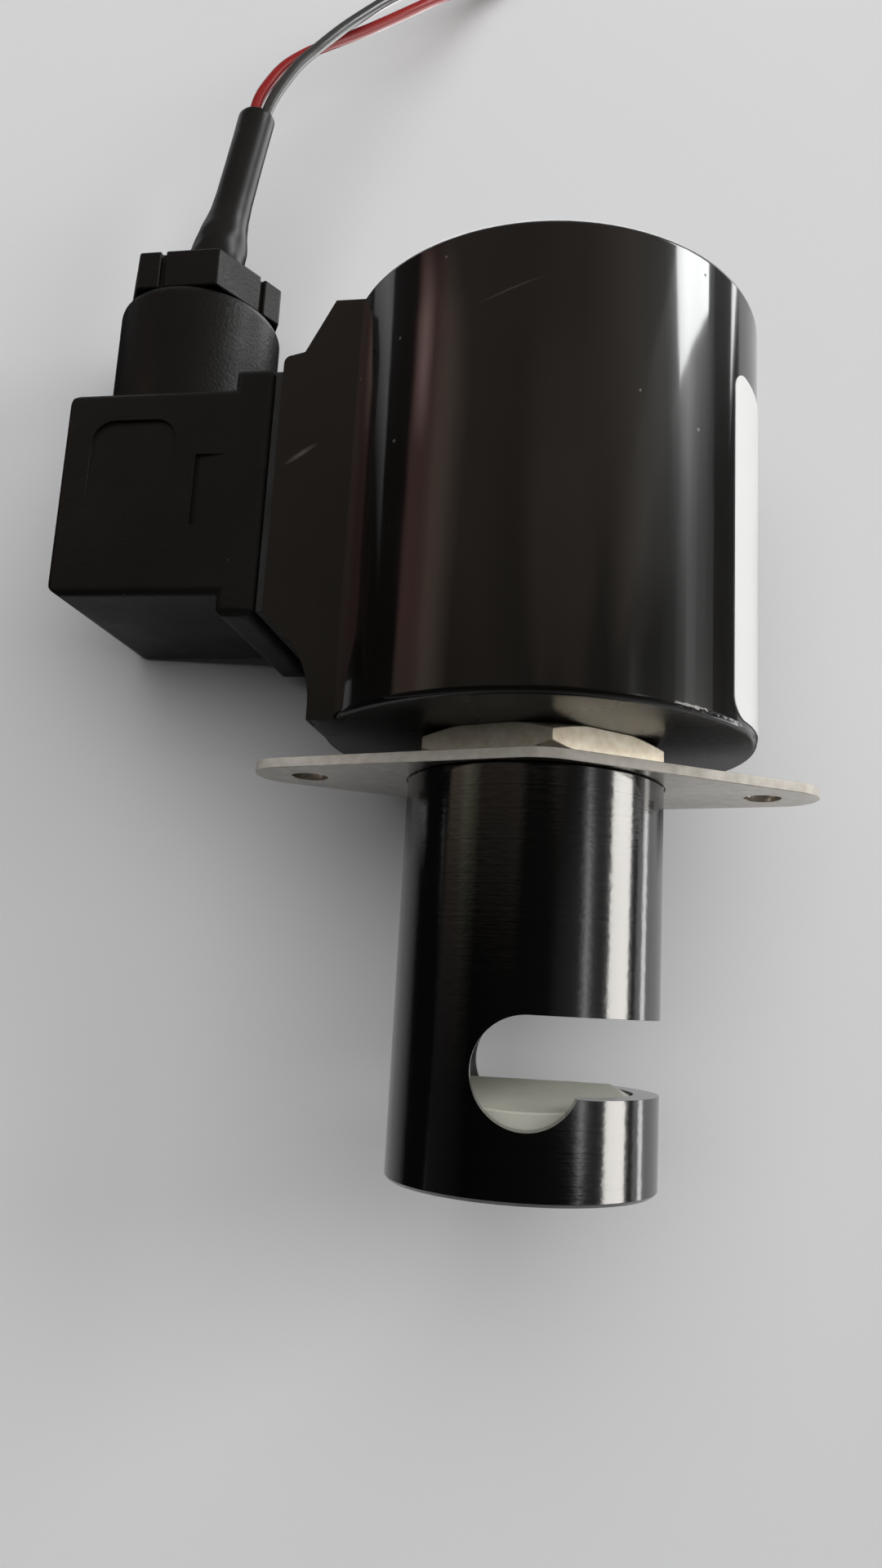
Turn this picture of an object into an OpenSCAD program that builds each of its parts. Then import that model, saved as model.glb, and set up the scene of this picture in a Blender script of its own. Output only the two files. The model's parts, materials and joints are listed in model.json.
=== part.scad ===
// Solenoid pinch valve for soft tubing, lying on its side as it rests on a table.
// Sizes are in millimetres. Each piece is drawn with the valve's axis on Z, nose down and plug towards -X.
// on_plate(), on_nose() and on_coil() lay it down: the axis runs along Y, the nose points to -Y, Z is up.
// The origin is on the axis, at the face of the mounting plate that meets the panel.

/* [Coil] */
// Outside diameter of the moulded coil
coil_d = 54; // [51:0.5:60]
// Height of the moulded coil
coil_h = 55.5; // [53:0.5:65]
// Wall of the moulding round the yoke
coil_wall = 2.5; // [2:0.1:3.5]
// Rounding of the moulding's rims
coil_rim_r = 0.8; // [0.3:0.1:1.5]
// Bore of the coil for the guide tube
coil_bore_d = 19; // [18:0.1:21]
// Wall of the steel yoke and of its pole plates
yoke_wall = 2; // [1.5:0.1:3]
// Wall of the bobbin's tube and flanges
bobbin_wall = 1.2; // [0.8:0.1:2]
// Room between the winding and the yoke
winding_room = 1.5; // [0.5:0.1:3]
// Turn of the coil about the axis, from the plate's long way, in degrees
coil_turn = 8; // [-4:1:12]

/* [Connector block] */
// Width of the connector block
block_w = 28.5; // [28:0.1:32]
// Distance from the axis to the face that the plug sits on
block_reach = 32.8; // [32:0.1:36]
// Distance from the axis to the end of the block's flat top
block_top_reach = 26.5; // [25:0.1:28]
// Drop from the coil's top to the block's shoulder
block_shoulder_drop = 7.5; // [6:0.1:8]
// Depth of the shoulder behind the plug's face
block_shoulder_w = 2.7; // [1.5:0.1:3.5]
// Distance from the axis to the block's foot
block_foot_reach = 26.2; // [25:0.1:27]
// Radius of the hollow sweep under the block
block_sweep_r = 12; // [8:0.5:13]
// Height of the straight foot under the sweep
block_foot_h = 2.1; // [1:0.1:3]
// Rounding of the shoulder's outer edge
block_shoulder_r = 1; // [0.5:0.1:1.5]
// Rise of the shoulder from its outer edge to the slope
block_shoulder_rise = 0.4; // [0:0.1:1]

/* [Plug] */
// Width of the plug
plug_w = 27.4; // [26:0.1:28]
// Height of the plug's body
plug_h = 28; // [26:0.1:30]
// Depth of the plug's body behind its flange
plug_depth = 22.9; // [22.6:0.1:27]
// Height of the plug's flange
flange_h = 33.8; // [31:0.1:34.5]
// Thickness of the plug's flange
flange_t = 5.3; // [3.5:0.1:6]
// Wall of the plug
plug_wall = 2; // [1.5:0.1:2.5]
// Rounding of the plug's edges
plug_edge_r = 1.1; // [0.3:0.1:1.5]
// Rounding of the plug's outer corners
plug_corner_r = 2.4; // [1:0.1:3]
// Rounding of the flange's corners
flange_corner_r = 1.6; // [0.5:0.1:2]
// Height of the plug's middle above the coil's lower face
plug_rise = 30.2; // [30:0.1:31]
// Thickness of the gasket under the plug
gasket_t = 1.3; // [0.8:0.1:2]
// Inset of the gasket from the flange's outline
gasket_inset = 0.6; // [0.3:0.1:1.5]
// Depth of the sloping recesses on the plug's sides, at their deep edge
panel_depth = 0.5; // [0.2:0.1:0.8]
// Height of the wide recess on the plug's sides
panel_h = 19.8; // [15:0.1:22]
// Length of the slope from the wide recess's top edge to the plug's side
panel_slope = 12; // [6:0.1:14]
// Rounding of the wide recess's corners
panel_corner_r = 3; // [1:0.1:4]
// Distance from the wide recess to the plug's end
panel_margin = 4; // [2:0.1:5]
// Distance between the wide recess and the latch window
panel_gap = 3; // [1:0.1:4]
// Height of the latch window beside the flange
window_h = 9.6; // [7:0.1:12]
// Width of the latch window beside the flange
window_w = 4.3; // [3:0.1:5]
// Length of the contact carrier inside the plug
insert_len = 12; // [11:0.1:14]
// Wall of the contact carrier behind the sockets
insert_wall = 0.5; // [0.3:0.1:0.7]
// Diameter of the plug's fixing screw
plug_screw_d = 3; // [2.5:0.1:3.5]
// Diameter of the plug screw's head
plug_screw_head_d = 5.6; // [5:0.1:7]

/* [Terminals] */
// Width of a terminal blade
blade_w = 6.3; // [4.8:0.1:6.5]
// Thickness of a terminal blade
blade_t = 0.8; // [0.5:0.1:1]
// Length of a terminal blade outside the block
blade_len = 10; // [8:0.1:10.5]
// Length of a terminal blade inside the block
blade_root = 3; // [2:0.1:4]
// Distance from the screw to each blade
blade_pitch = 8; // [7.5:0.1:8.3]
// Wall of the brass socket round a blade
socket_wall = 0.5; // [0.3:0.1:0.7]

/* [Gland] */
// Outside diameter of the cable-entry barrel
barrel_d = 22.4; // [21.5:0.1:22.5]
// Height of the barrel above the plug's body
barrel_h = 17.8; // [15:0.1:20]
// Rounding of the barrel's top
barrel_rim_r = 1.6; // [0.5:0.1:2]
// Bore of the barrel above the grommet's seat
barrel_bore_d = 15; // [14:0.1:16]
// Width across the flats of the gland nut
gland_nut_af = 19.9; // [18:0.1:21]
// Height of the gland nut's head
gland_nut_h = 5.6; // [4:0.1:7]
// Length of the gland nut's shank inside the barrel
gland_shank = 9; // [6:0.1:9.5]
// Width of the grip notches in the gland nut
gland_notch_w = 0.7; // [0.4:0.1:1.5]
// Depth of the grip notches in the gland nut
gland_notch_depth = 0.7; // [0.5:0.1:1.2]
// Distance from the middle of a flat to its notch
gland_notch_at = 2.3; // [1:0.1:3.5]
// Turn of the gland nut as it was tightened, in degrees
gland_nut_turn = 30; // [0:1:59]
// Thickness of the washer on the grommet
gland_washer_t = 0.8; // [0.5:0.1:1.2]
// Length of the rubber grommet
grommet_len = 4; // [2.5:0.1:4.5]

/* [Sleeve and leads] */
// Diameter of the sleeve where it passes through the gland
sleeve_pass_d = 7; // [6.4:0.1:7.4]
// Diameter of the sleeve's flare above the gland
sleeve_base_d = 8; // [7.8:0.1:9]
// Diameter of the sleeve at its free end
sleeve_d = 5.4; // [4.5:0.1:6]
// Length of the flare above the gland nut
sleeve_flare = 12; // [8:0.5:15]
// Length of the sleeve above the gland nut
sleeve_len = 29.3; // [28.5:0.1:31]
// Lean of the sleeve towards the coil, in degrees
sleeve_lean = 9.5; // [8:0.5:11]
// Diameter of a lead over its insulation
lead_d = 1.6; // [1.4:0.1:1.6]
// Turns in the coil that each lead is wound into
lead_turns = 3; // [2:1:3]
// Radius of the outermost turn, at the middle of the lead
lead_coil_r = 11.6; // [11:0.1:12.5]
// Length of the bare tinned end of a lead
lead_tip_len = 3; // [2:0.5:3]
// Turn of the bare ends about their coil, in degrees
lead_tip_turn = 10; // [0:5:30]
// Gap between two turns of a wound lead
lead_turn_gap = 0.05; // [0.02:0.01:0.08]
// Thickness of the tie's band
tie_t = 0.4; // [0.3:0.1:0.5]
// Width of the tie's band
tie_w = 2.5; // [1.5:0.1:4]

/* [Label] */
// Height of the label
label_h = 42.7; // [30:0.1:46]
// Width of the label, measured straight across
label_w = 27.8; // [20:0.1:34]
// Height of the label's lower edge above the coil's lower face
label_rise = 1.2; // [1:0.1:5]
// Rounding of the label's corners
label_corner_r = 2.5; // [1:0.1:4]
// Thickness of the label
label_t = 0.12; // [0.1:0.01:0.3]

/* [Plate and nut] */
// Length of the mounting plate, tip to tip
plate_l = 70.8; // [68:0.1:80]
// Width of the mounting plate, apex to apex
plate_w = 35.6; // [34:0.1:44]
// Thickness of the mounting plate
plate_t = 1.3; // [1:0.1:3]
// Rounding of the plate's ends
plate_end_r = 5.4; // [4.5:0.1:8]
// Rounding of the plate's middle corners
plate_apex_r = 8; // [5:0.1:12]
// Distance between the plate's screw holes
plate_hole_gap = 57; // [54:0.1:58]
// Diameter of the plate's screw holes
plate_hole_d = 4.6; // [3.2:0.1:5.5]
// Depth of the shallow seat in the plate that centres the nose
plate_seat = 0.2; // [0.1:0.05:0.4]
// Width across the flats of the body nut
nut_af = 29; // [27:0.1:31]
// Thickness of the body nut
nut_t = 3.5; // [3:0.1:5]
// Height of the chamfer on each face of the body nut
nut_chamfer_h = 1.1; // [0.5:0.1:1.3]
// Turn of the body nut as it was tightened, in degrees
nut_turn = -87; // [-119:1:-60]
// Diameter of the threaded neck through the plate and nut
neck_d = 20; // [19.4:0.1:22]

/* [Nose] */
// Outside diameter of the nose
nose_d = 32; // [31:0.1:34]
// Length of the nose below the plate
nose_len = 47.5; // [46:0.5:55]
// Bore of the nose
nose_bore_d = 26; // [25:0.1:27]
// Thickness of the nose's end wall
nose_floor = 3; // [2.5:0.1:3.5]
// Chamfer of the nose's edges
nose_chamfer = 0.4; // [0.2:0.1:0.8]
// Turn of the nose about the axis, from the plate's long way, in degrees
nose_turn = 2; // [-4:1:6]
// Diameter of the round seat for the tube
tube_hole_d = 12.2; // [10:0.1:13]
// Depth of the tube seat's middle below the plate
tube_hole_depth = 34; // [33:0.1:35]
// Height of the slot's open mouth
mouth_h = 8.6; // [7.5:0.1:9]
// Height of the anvil's ridge above the slot's lip
anvil_rise = 0.9; // [0.2:0.1:1.2]
// Fall of the anvil's roof from its ridge to its edge
roof_fall = 2.7; // [1.5:0.1:3]
// Rounding of the anvil's ridge
ridge_r = 2; // [1:0.1:4]
// Width of the chamfer round the anvil's top
anvil_chamfer = 2.6; // [0.5:0.1:3]
// Diameter of the anvil's screw
anvil_screw_d = 4; // [3:0.1:4.5]
// Length of the anvil's screw
anvil_screw_len = 7; // [5:0.1:7]

/* [Plunger] */
// Travel of the plunger
stroke = 6; // [4:0.1:6.5]
// Diameter of the push rod
rod_d = 6; // [5:0.1:6.5]
// Height of the pinch head's ridge above the slot, at rest
head_setback = 0.5; // [0.3:0.1:1]
// Gap between the pinch head and the core's foot, at rest
head_gap = 0.6; // [0.4:0.1:1.5]
// Length of the rod inside the pinch head
head_grip = 8; // [7:0.1:8.5]
// Diameter of the pin through the pinch head
head_pin_d = 2.5; // [1.5:0.1:2.5]
// Distance from the pin's ends to the nose's bore
head_pin_inset = 1; // [0.5:0.1:2]
// Length of the end plug inside the guide tube
end_plug_len = 8; // [6:0.1:10]
// Length of the rod inside the armature
armature_grip = 12; // [8:0.1:16]
// Gap between the armature and the core when it is pulled in
air_gap = 0.2; // [0.1:0.05:0.5]
// Gap between the armature and the end plug, at rest
rest_gap = 0.3; // [0.1:0.05:0.5]
// Wall of the guide tube
tube_wall = 0.5; // [0.3:0.05:0.8]
// Distance from the coil's top down to the guide tube's end
tube_setback = 1; // [0.5:0.1:2]
// Length of the core's foot inside the nose
core_foot = 13; // [12:0.1:14]
// Height of the core's pole face above the coil's lower face
pole_rise = 19.2; // [18:0.1:19.5]
// Depth of the spring's pocket in the core
spring_pocket = 14; // [12:0.1:15]
// Wire diameter of the return spring
spring_wire_d = 1.3; // [1:0.05:1.5]
// Outside diameter of the return spring
spring_d = 11.4; // [10.5:0.1:12]
// Turns of the return spring
spring_turns = 7; // [5:1:8]
// Length of the guide bush in the core
bush_len = 8; // [5:0.1:8.5]
// Wall of the guide bush
bush_wall = 2; // [1.5:0.1:2.5]
// Thickness of the rod's seal
seal_t = 1.8; // [1.4:0.1:2.5]

/* [Coil fixing] */
// Diameter of the stud on top of the guide tube
stud_d = 10; // [8:0.5:12]
// Height of the stud above the coil
stud_h = 9; // [8.6:0.1:12]
// Diameter of the washer on the coil
washer_d = 24; // [22:0.5:30]
// Thickness of the washer on the coil
washer_t = 1.6; // [1:0.1:2]
// Width across the flats of the coil's nut
top_nut_af = 17; // [16:0.5:19]
// Thickness of the coil's nut
top_nut_t = 6; // [4:0.1:6.5]

/* [Clearances] */
// Gap on each side between pieces that are fixed together
fit_gap = 0.1; // [0.05:0.01:0.15]
// Gap on each side between pieces that slide
run_gap = 0.06; // [0.03:0.01:0.1]
// Gap on each side where a piece passes freely
free_gap = 0.3; // [0.2:0.05:0.4]

/* [Hidden] */
$fn = 96;

// Overlap that makes a cut run clear of a face
cut = 1;
// Steps in each turn of the spring
spring_steps = 14;

// Heights along the axis, from the plate's panel face
coil_z0 = plate_t + nut_t;
coil_z1 = coil_z0 + coil_h;
slot_z1 = -tube_hole_depth + tube_hole_d / 2;
lip_z = slot_z1 - mouth_h;
floor_z = -nose_len + nose_floor;
ridge_z = lip_z + anvil_rise;
head_z0 = slot_z1 + head_setback;
head_z1 = -core_foot - head_gap;
pole_z = coil_z0 + pole_rise;
spring_z = pole_z - spring_pocket;
tube_top_z = coil_z1 - tube_setback;
stop_z = tube_top_z - end_plug_len;
armature_z0 = pole_z + air_gap + stroke;
armature_z1 = stop_z - rest_gap;
armature_len = armature_z1 - armature_z0;
bobbin_z0 = coil_z0 + coil_wall + yoke_wall;
bobbin_z1 = coil_z1 - coil_wall - yoke_wall;
rod_z0 = head_z1 - head_grip;
rod_z1 = armature_z0 + armature_grip;
head_pin_z = rod_z0 + head_grip / 2;

// Radii about the axis
coil_r = coil_d / 2;
yoke_r = coil_r - coil_wall - fit_gap;
pole_r = yoke_r - yoke_wall - fit_gap;
tube_r = coil_bore_d / 2 - fit_gap;
tube_bore_r = tube_r - tube_wall;
core_r = tube_bore_r - fit_gap;
armature_r = tube_bore_r - run_gap;
nose_bore_r = nose_bore_d / 2;
rod_r = rod_d / 2;
bush_r = rod_r + run_gap + bush_wall;
pocket_r = spring_d / 2 + free_gap;
screw_head_d = 2 * anvil_screw_d;
screw_head_h = anvil_screw_d / 2;
screw_hole_d = anvil_screw_d + 2 * fit_gap;

// Places of the plug, from the axis
gasket_x = block_reach + gasket_t;
flange_x = gasket_x + flange_t;
plug_reach = flange_x + plug_depth;
screw_seat_x = plug_reach - plug_wall;
plug_z = coil_z0 + plug_rise;
barrel_x = flange_x + plug_depth / 2;
barrel_z = plug_z + plug_h / 2;
barrel_top_z = barrel_z + barrel_h;
gland_top_z = barrel_top_z + fit_gap + gland_nut_h;
shank_z = barrel_top_z - gland_shank;
grommet_z = shank_z - gland_washer_t - grommet_len;
cable_bore_d = sleeve_pass_d + 2 * fit_gap;
insert_x0 = block_reach + fit_gap;
insert_x1 = insert_x0 + insert_len;
cavity_w = plug_w - 2 * plug_wall;
cavity_h = plug_h - 2 * plug_wall;
socket_w = blade_w + 2 * fit_gap + 2 * socket_wall;
socket_h = blade_t + 2 * fit_gap + 2 * socket_wall;

// Roll at which the coil and the plug's edge both touch the table, in degrees
rest_arm = [plug_reach - plug_edge_r, plug_w / 2 - plug_edge_r];
rest_roll = asin((coil_r - plug_edge_r) / norm(rest_arm)) - atan(rest_arm.y / rest_arm.x);

// Lead routes: points chosen by hand, from inside the sleeve to the outermost turn of each coil
RED_ROUTE = [
    [-45.8, 99, -10.6], [-45.2, 102.7, -10.4], [-44.6, 105.3, -10.2], [-43.6, 107.8, -10.3],
    [-41.8, 111.6, -11], [-39.9, 114.5, -11.9], [-37.4, 117.6, -13.1], [-34, 120.8, -14.3],
    [-29.8, 124.6, -15.6], [-25.9, 128.5, -16.9], [-22, 132.7, -18.4], [-17.5, 138, -20.7],
    [-12.5, 142.8, -23.2], [-7, 147.5, -25.1], [-1, 152, -25.7], [5.9, 157.5, -25.8]
];
BLACK_ROUTE = [
    [-44.1, 99, -10.6], [-43.4, 102.6, -10.3], [-42.4, 105.5, -10], [-41, 108.5, -10],
    [-39, 112.3, -10.3], [-36.4, 116.2, -11], [-33.4, 120.9, -12.2], [-30.3, 125.5, -13.7],
    [-26.8, 130.5, -15.5], [-22.5, 136, -17.8], [-17.5, 141.2, -20.3], [-12, 145.7, -22.5],
    [-6.5, 149.5, -23.5], [-1, 153, -23.9], [5.9, 157.5, -24]
];
LEAD_COIL_CENTRE = [-3, 165];
// The sleeve's end that the routes were chosen for
ROUTE_SLEEVE_END = [-44.5, 102.2, -10.2];
// Steps between two points of a route
route_steps = 2;
lead_sides = 8;
lead_pitch = lead_d + lead_turn_gap;
table_z = -coil_r;
red_coil_z = table_z + tie_t + fit_gap;
black_coil_z = red_coil_z + lead_d;
lead_coil_inner_r = lead_coil_r - lead_turns * lead_pitch - lead_d / 2;
lead_coil_outer_r = lead_coil_r + lead_d / 2;

// The sleeve's free end, and the shift of the routes at each end that keeps them joined at any size
sleeve_bend_z = gland_top_z + sleeve_base_d / 2 * sin(sleeve_lean) + fit_gap;
sleeve_end_x = sleeve_len * sin(sleeve_lean) - barrel_x;
sleeve_end = [
    sleeve_end_x * cos(rest_roll),
    sleeve_bend_z + sleeve_len * cos(sleeve_lean),
    sleeve_end_x * sin(rest_roll)
];
route_start_shift = sleeve_end - ROUTE_SLEEVE_END;
red_path = moved(RED_ROUTE, route_start_shift, red_coil_z + lead_d / 2 - lead_turn_gap);
black_path = moved(BLACK_ROUTE, route_start_shift, black_coil_z + lead_d / 2 + lead_turn_gap);

// Finishes
black_gloss = "#161515";
black_matte = "#2b2a2a";
black_anodised = "#1d1b1a";
steel = "#b9b6ae";
zinc = "#a9abad";
brass = "#b5924c";
copper = "#a8552c";
white_plastic = "#e9e9e4";
rubber_black = "#1b1b1b";
nylon = "#cfcabd";
red_insulation = "#b8202a";

// Placement

module lying(roll) {
    rotate([0, -roll, 0]) rotate([-90, 0, 0]) children();
}

module on_plate() {
    lying(rest_roll - coil_turn) children();
}

module on_nose() {
    lying(rest_roll - coil_turn + nose_turn) children();
}

module on_coil() {
    lying(rest_roll) children();
}

// Shapes that repeat

module tube(z0, z1, r_in, r_out) {
    translate([0, 0, z0])
        difference() {
            cylinder(h = z1 - z0, r = r_out);
            translate([0, 0, -cut]) cylinder(h = z1 - z0 + 2 * cut, r = r_in);
        }
}

module rounded_rect(size, r) {
    square([size.x - 2 * r, size.y], center = true);
    square([size.x, size.y - 2 * r], center = true);
    for (sx = [-1, 1], sy = [-1, 1])
        translate([sx * (size.x / 2 - r), sy * (size.y / 2 - r)]) circle(r);
}

// A block between x0 and x1 towards the plug: edges along it of radius corner_r, upright edges of radius r
// and edges across it of radius end_r
module rounded_block(x0, x1, size_y, size_z, r, corner_r, end_r) {
    translate([-(x0 + x1) / 2, 0, plug_z])
        intersection() {
            rotate([90, 0, 0])
                linear_extrude(size_y + 2 * cut, center = true) rounded_rect([x1 - x0, size_z], end_r);
            linear_extrude(size_z + 2 * cut, center = true) rounded_rect([x1 - x0, size_y], r);
            rotate([90, 0, 90])
                linear_extrude(x1 - x0 + 2 * cut, center = true) rounded_rect([size_y, size_z], corner_r);
        }
}

// A plain block between x0 and x1 towards the plug
module plug_box(x0, x1, size_y, size_z) {
    translate([-x1, -size_y / 2, plug_z - size_z / 2]) cube([x1 - x0, size_y, size_z]);
}

// A round bar along X, between x0 and x1 towards the plug, at the plug's middle
module plug_bar(x0, x1, d) {
    translate([-x1, 0, plug_z]) rotate([0, 90, 0]) cylinder(h = x1 - x0, d = d);
}

// A six-sided nut with a corner towards the camera side and both faces chamfered
module hex_nut(z0, t, af, bore_d, chamfer_h, turn = 0) {
    corner_r = af / 2 / cos(30);
    chamfer_w = chamfer_h / tan(30);
    difference() {
        intersection() {
            translate([0, 0, z0]) rotate([0, 0, turn]) cylinder(h = t, r = corner_r, $fn = 6);
            rotate_extrude() polygon([
                [0, z0], [corner_r - chamfer_w, z0], [corner_r, z0 + chamfer_h],
                [corner_r, z0 + t - chamfer_h], [corner_r - chamfer_w, z0 + t], [0, z0 + t]
            ]);
        }
        translate([0, 0, z0 - cut]) cylinder(h = t + 2 * cut, d = bore_d);
    }
}

function arc(centre, r, a0, a1, n = 8) =
    [for (i = [0 : n]) let (a = a0 + (a1 - a0) * i / n) centre + r * [cos(a), sin(a)]];

function unit(v) = v / norm(v);

// A point on the smooth curve through p1 and p2
function between(p0, p1, p2, p3, t) =
    0.5 * (2 * p1 + (p2 - p0) * t + (2 * p0 - 5 * p1 + 4 * p2 - p3) * t ^ 2
        + (3 * p1 - p0 - 3 * p2 + p3) * t ^ 3);

function smooth(p, steps) =
    let (last = len(p) - 1)
    [for (i = [0 : last - 1], s = [0 : steps - 1])
        between(p[max(i - 1, 0)], p[i], p[i + 1], p[min(i + 2, last)], s / steps), p[last]];

function ring_round(p, i, r, sides) =
    let (
        t = unit(p[min(i + 1, len(p) - 1)] - p[max(i - 1, 0)]),
        u = unit(cross(t, [0, 0, 1])),
        v = cross(u, t)
    )
    [for (k = [0 : sides - 1]) p[i] + r * (cos(360 * k / sides) * u + sin(360 * k / sides) * v)];

// A route shifted at its start and brought to the height z at its end, in proportion between them
function moved(p, start, z) =
    let (last = len(p) - 1, finish = [0, 0, z - p[last].z])
    [for (i = [0 : last]) p[i] + start + (finish - start) * i / last];

// A closed tube swept along a list of points
module swept(p, r, sides) {
    n = len(p);
    points = [for (i = [0 : n - 1]) each ring_round(p, i, r, sides)];
    walls = [for (i = [0 : n - 2], k = [0 : sides - 1])
        let (a = i * sides + k, b = i * sides + (k + 1) % sides)
        each [[a, b, b + sides], [a, b + sides, a + sides]]];
    caps = [[for (k = [sides - 1 : -1 : 0]) k], [for (k = [0 : sides - 1]) (n - 1) * sides + k]];
    polyhedron(points, concat(walls, caps));
}

// Coil

function block_outline() =
    let (
        sweep_c = [-block_foot_reach - block_sweep_r, coil_z0 + block_foot_h],
        sweep = arc(sweep_c, block_sweep_r, 0, 45),
        sweep_end = sweep[len(sweep) - 1],
        shoulder_z = coil_z1 - block_shoulder_drop,
        lean_in = block_reach + sweep_end.x
    )
    concat(
        [[-coil_r / 2, coil_z0], [-block_foot_reach, coil_z0]],
        sweep,
        [[-block_reach, sweep_end.y + lean_in], [-block_reach, shoulder_z - block_shoulder_r]],
        arc([block_shoulder_r - block_reach, shoulder_z - block_shoulder_r], block_shoulder_r, 180, 90, 4),
        [
            [-block_reach + block_shoulder_w, shoulder_z + block_shoulder_rise],
            [-block_top_reach, coil_z1], [-coil_r / 2, coil_z1]
        ]
    );

module coil_round() {
    rotate_extrude() {
        translate([0, coil_z0]) square([coil_r - coil_rim_r, coil_h]);
        translate([0, coil_z0 + coil_rim_r]) square([coil_r, coil_h - 2 * coil_rim_r]);
        for (z = [coil_z0 + coil_rim_r, coil_z1 - coil_rim_r])
            translate([coil_r - coil_rim_r, z]) circle(coil_rim_r);
    }
}

// Places of the three blades: two across the plug and the earth blade below, turned flat
module at_blades() {
    for (side = [-1, 1]) translate([0, side * blade_pitch, plug_z]) children();
    translate([0, 0, plug_z - blade_pitch]) rotate([90, 0, 0]) children();
}

module blade_bar(x0, x1, w, t) {
    translate([-x1, -t / 2, -w / 2]) cube([x1 - x0, t, w]);
}

module coil_housing() {
    color(black_gloss) on_coil()
        difference() {
            union() {
                coil_round();
                rotate([90, 0, 0]) linear_extrude(block_w, center = true) polygon(block_outline());
            }
            translate([0, 0, coil_z0 + coil_wall])
                cylinder(h = coil_h - 2 * coil_wall, r = coil_r - coil_wall);
            translate([0, 0, coil_z0 - cut]) cylinder(h = coil_h + 2 * cut, d = coil_bore_d);
            at_blades() blade_bar(block_reach - blade_root, block_reach + cut, blade_w, blade_t);
            plug_bar(block_reach - blade_root, block_reach + cut, plug_screw_d + 2 * fit_gap);
        }
}

module yoke_tube() {
    color(zinc) on_coil() tube(coil_z0 + coil_wall, coil_z1 - coil_wall, yoke_r - yoke_wall, yoke_r);
}

module lower_pole_plate() {
    color(zinc) on_coil()
        tube(coil_z0 + coil_wall, coil_z0 + coil_wall + yoke_wall, coil_bore_d / 2, pole_r);
}

module upper_pole_plate() {
    color(zinc) on_coil()
        tube(coil_z1 - coil_wall - yoke_wall, coil_z1 - coil_wall, coil_bore_d / 2, pole_r);
}

module coil_bobbin() {
    color(nylon) on_coil() {
        tube(bobbin_z0, bobbin_z1, coil_bore_d / 2, coil_bore_d / 2 + bobbin_wall);
        for (z = [bobbin_z0, bobbin_z1 - bobbin_wall])
            tube(z, z + bobbin_wall, coil_bore_d / 2, pole_r - winding_room / 2);
    }
}

module coil_winding() {
    color(copper) on_coil()
        tube(bobbin_z0 + bobbin_wall, bobbin_z1 - bobbin_wall,
            coil_bore_d / 2 + bobbin_wall + fit_gap, pole_r - winding_room);
}

module label() {
    color(white_plastic) on_coil()
        intersection() {
            tube(coil_z0, coil_z1, coil_r + label_t / 4, coil_r + label_t);
            translate([0, 0, coil_z0 + label_rise + label_h / 2])
                rotate([90, 0, 90]) linear_extrude(coil_d) rounded_rect([label_w, label_h], label_corner_r);
        }
}

// Tube, core and coil fixing

module guide_tube() {
    color(steel) on_plate() tube(coil_z0, tube_top_z, tube_bore_r, tube_r);
}

module fixed_core() {
    foot_r = nose_bore_r - fit_gap;
    bush_seat_r = bush_r + fit_gap;
    bore_r = rod_r + free_gap;
    bush_top_z = -core_foot + bush_len + seal_t;
    color(zinc) on_plate()
        rotate_extrude() polygon([
            [bush_seat_r, -core_foot], [foot_r, -core_foot], [foot_r, plate_seat], [neck_d / 2, plate_seat],
            [neck_d / 2, coil_z0], [core_r, coil_z0], [core_r, pole_z], [pocket_r, pole_z],
            [pocket_r, spring_z], [bore_r, spring_z], [bore_r, bush_top_z], [bush_seat_r, bush_top_z]
        ]);
}

module guide_bush() {
    color(brass) on_plate() tube(-core_foot, -core_foot + bush_len, rod_r + run_gap, bush_r);
}

module rod_seal() {
    seal_z = -core_foot + bush_len;
    color(rubber_black) on_plate() tube(seal_z, seal_z + seal_t, rod_r + run_gap, bush_r);
}

module tube_end_plug() {
    color(zinc) on_plate() {
        translate([0, 0, stop_z]) cylinder(h = tube_top_z - stop_z, r = core_r);
        translate([0, 0, tube_top_z - cut]) cylinder(h = coil_z1 + stud_h - tube_top_z + cut, d = stud_d);
    }
}

module coil_washer() {
    color(steel) on_plate() tube(coil_z1, coil_z1 + washer_t, stud_d / 2 + fit_gap, washer_d / 2);
}

module coil_retaining_nut() {
    color(steel) on_plate()
        hex_nut(coil_z1 + washer_t, top_nut_t, top_nut_af, stud_d + 2 * fit_gap, top_nut_t / 8);
}

// Plate, nut and nose

module plate_outline() {
    end_c = [plate_l / 2 - plate_end_r, 0];
    apex_c = [0, plate_w / 2 - plate_apex_r];
    gap = norm(end_c - apex_c);
    along = (end_c - apex_c) / gap;
    across = [-along.y, along.x];
    swing = (plate_apex_r - plate_end_r) / gap;
    normal = along * swing + across * sqrt(1 - swing ^ 2);
    end_p = end_c + plate_end_r * normal;
    apex_p = apex_c + plate_apex_r * normal;
    polygon([
        end_p, apex_p, [-apex_p.x, apex_p.y], [-end_p.x, end_p.y],
        [-end_p.x, -end_p.y], [-apex_p.x, -apex_p.y], [apex_p.x, -apex_p.y], [end_p.x, -end_p.y]
    ]);
    for (s = [-1, 1]) {
        translate(s * end_c) circle(plate_end_r);
        translate(s * apex_c) circle(plate_apex_r);
    }
}

module mounting_plate() {
    color(steel) on_plate()
        difference() {
            linear_extrude(plate_t)
                difference() {
                    plate_outline();
                    circle(neck_d / 2 + fit_gap);
                    for (s = [-1, 1]) translate([s * plate_hole_gap / 2, 0]) circle(d = plate_hole_d);
                }
            translate([0, 0, -cut]) cylinder(h = cut + plate_seat, d = nose_d + 2 * fit_gap);
        }
}

module body_nut() {
    color(steel) on_plate()
        hex_nut(plate_t, nut_t, nut_af, neck_d + 2 * fit_gap, nut_chamfer_h, nut_turn);
}

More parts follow.
